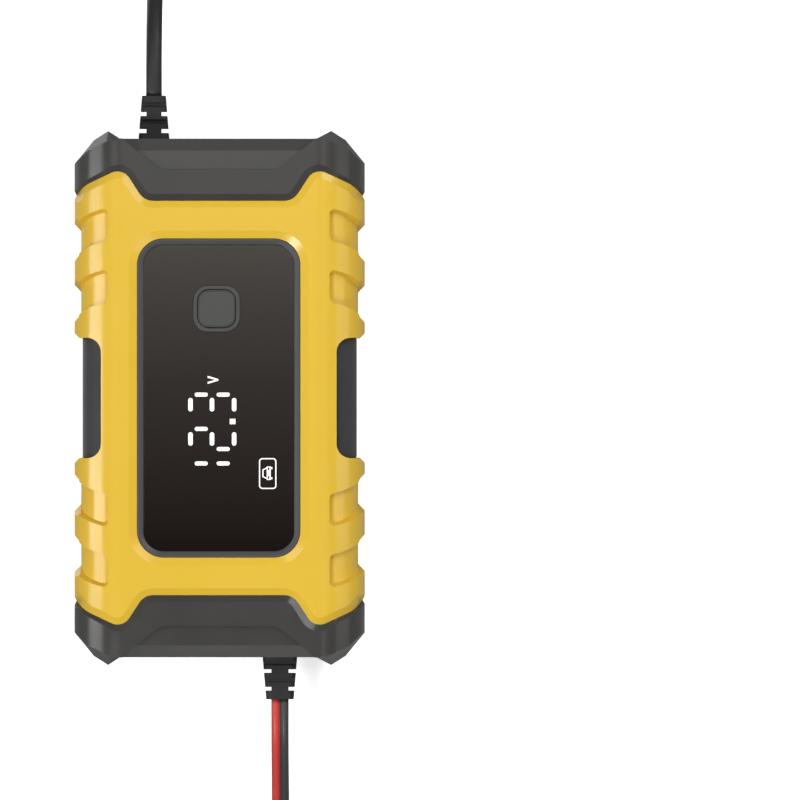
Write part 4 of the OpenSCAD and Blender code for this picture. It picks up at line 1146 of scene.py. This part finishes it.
def make_floor():
    """A pale floor that the camera sees through from below, and that lets light up from there."""
    mesh = bpy.data.meshes.new("floor")
    r, z = FLOOR_REACH, -FLOOR_DROP
    mesh.from_pydata([(-r, -r, z), (r, -r, z), (r, r, z), (-r, r, z)], [], [(0, 1, 2, 3)])
    floor = add_object("floor", mesh)
    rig.stage(floor)
    material = bpy.data.materials.new("pale floor")
    material.use_nodes = True
    nodes, links = material.node_tree.nodes, material.node_tree.links
    nodes.clear()
    path = nodes.new("ShaderNodeLightPath")
    side = nodes.new("ShaderNodeNewGeometry")
    tone = nodes.new("ShaderNodeMapRange")
    tone.inputs["To Min"].default_value = FLOOR_BOUNCE
    tone.inputs["To Max"].default_value = FLOOR_SEEN
    links.new(path.outputs["Is Camera Ray"], tone.inputs["Value"])
    paper = nodes.new("ShaderNodeBsdfDiffuse")
    links.new(tone.outputs["Result"], paper.inputs["Color"])
    lift = nodes.new("ShaderNodeEmission")
    lift.inputs["Color"].default_value = WHITE
    seen = nodes.new("ShaderNodeMath")
    seen.operation = "MULTIPLY"
    seen.inputs[1].default_value = FLOOR_LIFT
    links.new(path.outputs["Is Camera Ray"], seen.inputs[0])
    links.new(seen.outputs[0], lift.inputs["Strength"])
    both = nodes.new("ShaderNodeAddShader")
    links.new(paper.outputs[0], both.inputs[0])
    links.new(lift.outputs[0], both.inputs[1])
    clear = nodes.new("ShaderNodeBsdfTransparent")
    through = nodes.new("ShaderNodeMath")
    through.operation = "MAXIMUM"
    links.new(path.outputs["Is Shadow Ray"], through.inputs[0])
    links.new(side.outputs["Backfacing"], through.inputs[1])
    mix = nodes.new("ShaderNodeMixShader")
    links.new(through.outputs[0], mix.inputs[0])
    links.new(both.outputs[0], mix.inputs[1])
    links.new(clear.outputs[0], mix.inputs[2])
    out = nodes.new("ShaderNodeOutputMaterial")
    links.new(mix.outputs[0], out.inputs["Surface"])
    mesh.materials.append(material)


def area_light(name, place, size, power):
    data = bpy.data.lights.new(name, "AREA")
    data.energy = power
    data.shape = "RECTANGLE"
    data.size, data.size_y = size
    lamp = add_object(name, data)
    lamp.location = place
    way = Vector(LIGHT_TARGET) - Vector(place)
    lamp.rotation_euler = way.to_track_quat("-Z", "Y").to_euler()


def make_lights():
    for name, place, side, power in FRONT_LIGHTS:
        area_light(name, place, (side, side), power)
    for name, place, size, power in STRIPS + FILLS:
        area_light(name, place, size, power)


def make_world():
    world = bpy.data.worlds.new("studio")
    bpy.context.scene.world = world
    world.use_nodes = True
    nodes, links = world.node_tree.nodes, world.node_tree.links
    back = nodes["Background"]
    back.inputs["Color"].default_value = WHITE
    path = nodes.new("ShaderNodeLightPath")
    strength = nodes.new("ShaderNodeMapRange")
    strength.inputs["To Min"].default_value = WORLD_LIGHT
    strength.inputs["To Max"].default_value = 1.0
    links.new(path.outputs["Is Camera Ray"], strength.inputs["Value"])
    links.new(strength.outputs["Result"], back.inputs["Strength"])


# ---------------------------------------------------------------- the pieces themselves

FINE_EDGE, GLASS_EDGE = 0.0002, 0.0001
STRAP_EDGE, SPLITTER_EDGE = 0.00015, 0.0003


def make_mains_cord():
    points = wound_path(MAINS_ROUTE, MAINS_COIL, MAINS_TAIL)
    cord = lay_cord(
        "mains_cord_piece", points, round_section(MAINS_D * MM), None, ["jacket"], "black_cord",
        ["mains_cord", "mains_coil", "mains_tail"],
    )
    plug = dress("mains_plug", "jacket")
    blades = dress("plug_blades", "brass", FINE_EDGE)
    strap = dress("mains_tie", "black_grip", STRAP_EDGE)
    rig.cord(
        cord, exit=points[0], length=path_length(points), diameter=MAINS_D * MM, far_end="plug",
        stiffness="medium", lay="coiled", path=points, with_pieces=[plug, blades, strap],
    )


def make_output_lead():
    points = wound_path(DC_ROUTE, DC_COIL)
    points += curve_through(metres(DC_END), sizes().cord_step)[1:]
    section, parts = twin_section(CORE_D * MM)
    lead = lay_cord(
        "output_lead_piece", points, section, parts, ["red_core", "black_core"], "red_cord",
        ["dc_lead", "dc_coil"],
    )
    splitter = dress("lead_splitter", "relief", SPLITTER_EDGE)
    strap = dress("dc_tie", "black_grip", STRAP_EDGE)
    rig.cord(
        lead, exit=points[0], length=path_length(points), diameter=2 * CORE_D * MM,
        far_end="fitting", stiffness="limp", lay="coiled", path=points,
        with_pieces=[splitter, strap],
    )
    for tone, route in (("red", RED_TAIL), ("black", BLACK_TAIL)):
        way = curve_through(metres(route), TAIL_STEP * MM)
        tail = lay_cord(
            f"{tone}_tail_piece", way, round_section(CORE_D * MM), None, [f"{tone}_core"],
            slot_of(f"{tone}_tail"), [f"{tone}_tail"],
        )
        half = [bpy.data.objects[f"{tone}_clip_fixed_{part}_piece"] for part in ("jaw", "grip")]
        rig.cord(
            tail, exit=way[0], length=path_length(way), diameter=CORE_D * MM, far_end="connector",
            stiffness="limp", lay="loose", path=way, with_pieces=half,
        )


def make_housing():
    dress_moulding("front_shell", "yellow")
    dress_moulding("rear_shell", "yellow")
    dress_moulding("mains_end_cap", "cap")
    dress_moulding("lead_end_cap", "cap")
    for side in ("left", "right"):
        dress_moulding(f"side_pad_{side}", "pad", sizes().soft_edge)
    for end in ("mains", "lead"):
        dress(f"{end}_strain_relief", "relief", FINE_EDGE)


# marks on the window in mm: x across the body, y along it, read with the body's right side down
LYING, STANDING = (1.35, 4.0), (3.9, 1.22)  # sizes of a stroke
STROKES = {  # place from the middle of a digit, and size, by the usual letters for strokes
    "a": (-8.4, 0.0, LYING), "b": (-5.2, 3.0, STANDING), "c": (1.35, 3.0, STANDING),
    "d": (4.6, 0.0, LYING), "e": (1.35, -3.0, STANDING), "g": (-2.0, 0.0, LYING),
}
DIGITS = ((-2.0, "abcdg"), (-12.2, "abdeg"), (-22.5, "bc"))  # 3, 2 and 1: place and lit strokes
DECIMAL_POINT = (3.3, 5.0, -7.8, -6.2)
UNIT_MARK = [
    (-3.3, 6.6), (-0.1, 5.65), (-0.1, 5.15), (-3.3, 4.2), (-3.3, 4.8), (-0.9, 5.4), (-3.3, 6.0),
]
SIGN_FRAME_OUTSIDE = (14.6, -22.5, 5.2, 9.2, 1.0)
SIGN_FRAME_INSIDE = (14.6, -22.5, 4.5, 8.5, 0.7)
MARK_SUNK, MARK_PROUD = 0.02, 0.06


def lit_strokes():
    """Outlines of the lit strokes of the digits."""
    outlines = []
    for digit_y, lit in DIGITS:
        for x, y, size in (STROKES[letter] for letter in lit):
            outlines.append(pill(x, digit_y + y, *size))
    return outlines


def car_sign():
    """Outlines of a small car seen from its front, its roof to the left side of the body."""
    cabin = [
        (14.3, -24.15), (13.0, -23.5), (13.0, -21.3), (14.3, -20.65),
        (14.3, -21.05), (13.35, -21.5), (13.35, -23.3), (14.3, -23.75),
    ]
    bars = [box_outline(14.3, 14.6, -24.4, -20.4), box_outline(15.1, 15.5, -24.4, -20.4)]
    between_lamps = [
        box_outline(14.6, 15.1, y1, y2)
        for y1, y2 in ((-24.4, -24.1), (-23.3, -21.5), (-20.7, -20.4))
    ]
    wheels = [box_outline(15.5, 16.0, y, y + 0.6) for y in (-24.2, -21.2)]
    return [cabin, *bars, *between_lamps, *wheels]


def make_display():
    edge = sizes().edge
    dress("display_bezel", "bezel", FINE_EDGE)
    dress("display_window", "window", GLASS_EDGE)
    dress("button_surround", "ring", edge, 3)
    dress("mode_button", "key", edge, 3)
    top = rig.box("display_window")[1][2]
    low, high = top - MARK_SUNK * MM, top + MARK_PROUD * MM
    outlines = [*lit_strokes(), box_outline(*DECIMAL_POINT), UNIT_MARK, *car_sign()]
    marks = [prism(in_metres(outline), low, high) for outline in outlines]
    frame_of_sign = (rounded_box(*SIGN_FRAME_OUTSIDE), rounded_box(*SIGN_FRAME_INSIDE))
    marks.append(band(*map(in_metres, frame_of_sign), low, high))
    new_piece("display_marks", joined(marks), "housing", "reflector", (), ["mark"])


# the housing screws in mm, head down and seated at z = 0
HEAD_R, HEAD_H = 2.7, 1.9
SHANK_R, SHANK_L = 1.45, 29.9
HEAD_PROFILE = (
    (0.0, -HEAD_H), (2.2, -1.87), (2.45, -1.78), (2.6, -1.6), (2.68, -1.3), (HEAD_R, -0.8),
    (HEAD_R, 0.0),
)
CROSS_RINGS = ((1.6, 0.42, -2.3), (0.7, 0.3, -0.7))  # reach and half width of an arm at a height


def pan_screw():
    """A pan head with a cross recess."""
    bm = bmesh.new()
    verts = [bm.verts.new((r * MM, 0, z * MM)) for r, z in HEAD_PROFILE]
    edges = [bm.edges.new((a, b)) for a, b in zip(verts, verts[1:])]
    bmesh.ops.spin(
        bm, geom=verts + edges, cent=(0, 0, 0), axis=(0, 0, 1), dvec=(0, 0, 0),
        angle=2 * math.pi, steps=40, use_merge=True,
    )
    bmesh.ops.remove_doubles(bm, verts=bm.verts, dist=1e-7)
    rim = [e for e in bm.edges if e.is_boundary]
    bmesh.ops.holes_fill(bm, edges=rim, sides=0)
    bmesh.ops.recalc_face_normals(bm, faces=bm.faces)
    mesh = mesh_from(bm, "screw head")
    head = add_object("screw head", mesh)
    cutter = add_object("cross", cross_mesh())
    cut = head.modifiers.new("cross", "BOOLEAN")
    cut.operation = "DIFFERENCE"
    cut.solver = "EXACT"
    cut.object = cutter
    done = baked(head)
    bpy.data.objects.remove(head)
    bpy.data.objects.remove(cutter)
    if len(done.vertices) <= len(mesh.vertices):
        raise RuntimeError("the cross recess was not cut")
    smooth_by_angle(done, SHARP_DEGREES_SCREW)
    return done


def cross_mesh():
    """Tapered cross for the screw recess."""
    bm = bmesh.new()
    rings = []
    for a, b, z in CROSS_RINGS:
        corner = [(a, -b), (a, b), (b, b)]
        rings.append(
            [
                bm.verts.new(Matrix.Rotation(math.pi / 2 * k, 3, "Z") @ Vector((x, y, z)) * MM)
                for k in range(4)
                for x, y in corner
            ]
        )
    low, high = rings
    bm.faces.new(low)
    bm.faces.new(high)
    n = len(low)
    for k in range(n):
        m = (k + 1) % n
        bm.faces.new((low[k], low[m], high[m], high[k]))
    bmesh.ops.recalc_face_normals(bm, faces=bm.faces)
    return mesh_from(bm, "cross")


def round_shank():
    bm = bmesh.new()
    bmesh.ops.create_cone(
        bm, cap_ends=True, segments=24, radius1=SHANK_R * MM, radius2=SHANK_R * MM,
        depth=SHANK_L * MM, matrix=Matrix.Translation((0, 0, SHANK_L / 2 * MM)),
    )
    mesh = mesh_from(bm, "shank")
    smooth_by_angle(mesh, SHARP_DEGREES_SCREW)
    return mesh


def make_rear():
    dress("label_frame", "label_edge", FINE_EDGE)
    finish_node("rating_label", "label")
    low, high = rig.box("housing_screws")
    inset, seat = HEAD_R * MM, low[2] + HEAD_H * MM
    places = [
        (x, y, seat)
        for x in (low[0] + inset, high[0] - inset)
        for y in (low[1] + inset, high[1] - inset)
    ]
    screw = joined([pan_screw(), round_shank()])
    mesh = repeated("housing screws", places, screw, finish_of("screw"))
    new_piece("housing_screws_piece", mesh, "housing", "steel", ["housing_screws"])


def make_clips():
    for tone in ("red", "black"):
        for side in ("fixed", "moving"):
            dress(f"{tone}_clip_{side}_jaw", "jaw")
            dress(f"{tone}_clip_{side}_grip", f"{tone}_grip", sizes().soft_edge)
        dress(f"{tone}_clip_pin", "screw")
        dress(f"{tone}_clip_spring", "wire", degrees=SHARP_DEGREES_SPRING)


INSIDE = {
    "board": ["main_board", "display_board"],
    "screw": ["board_screws", "display_screws"],
    "brown_part": ["input_fuse", "line_choke", "output_choke"],
    "yellow_part": ["suppression_capacitor", "transformer_winding"],
    "blue_part": ["bulk_capacitor", "output_capacitors"],
    "aluminium": ["primary_heatsink", "output_heatsink"],
    "dark_part": ["switching_transistor", "output_diode", "board_link", "tact_switch"],
    "ferrite": ["transformer_core"],
    "reflector": ["digit_module", "switch_plunger"],
}


def make_inside():
    for kind, nodes in INSIDE.items():
        for node in nodes:
            finish_node(node, kind)


# ---------------------------------------------------------------- panel and running

OPERATORS = (
    CHARGER_OT_stage,
    CHARGER_OT_mains_cord,
    CHARGER_OT_clips,
    CHARGER_OT_output_lead,
    CHARGER_OT_housing,
    CHARGER_OT_display,
    CHARGER_OT_rear,
    CHARGER_OT_inside,
)


class CHARGER_PT_panel(bpy.types.Panel):
    """Sizes, colours and pieces of the charger"""

    bl_idname = "CHARGER_PT_panel"
    bl_label = "Battery charger"
    bl_space_type = "VIEW_3D"
    bl_region_type = "UI"
    bl_category = "Charger"

    def draw(self, context):
        for group in (context.scene.charger_colours, context.scene.charger_sizes):
            box = self.layout.box()
            for key in group.__annotations__:
                box.prop(group, key)
        for op in OPERATORS:
            self.layout.operator(op.bl_idname)


CLASSES = (ChargerColours, ChargerSizes, *OPERATORS, CHARGER_PT_panel)


def register():
    for cls in CLASSES:
        bpy.utils.register_class(cls)
    bpy.types.Scene.charger_colours = bpy.props.PointerProperty(type=ChargerColours)
    bpy.types.Scene.charger_sizes = bpy.props.PointerProperty(type=ChargerSizes)


def unregister():
    del bpy.types.Scene.charger_sizes
    del bpy.types.Scene.charger_colours
    for cls in reversed(CLASSES):
        bpy.utils.unregister_class(cls)


def main():
    register()
    bpy.ops.charger.stage()
    bpy.ops.charger.mains_cord()
    bpy.ops.charger.clips()
    bpy.ops.charger.output_lead()
    bpy.ops.charger.housing()
    bpy.ops.charger.display()
    bpy.ops.charger.rear()
    bpy.ops.charger.inside()
    plain = [[[float(c) for c in corner] for corner in box] for box in (CAD_BOX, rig.bounds())]
    with open("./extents.json", "w") as out:
        json.dump({"cad": plain[0], "visual": plain[1]}, out)


if __name__ == "__main__":
    main()
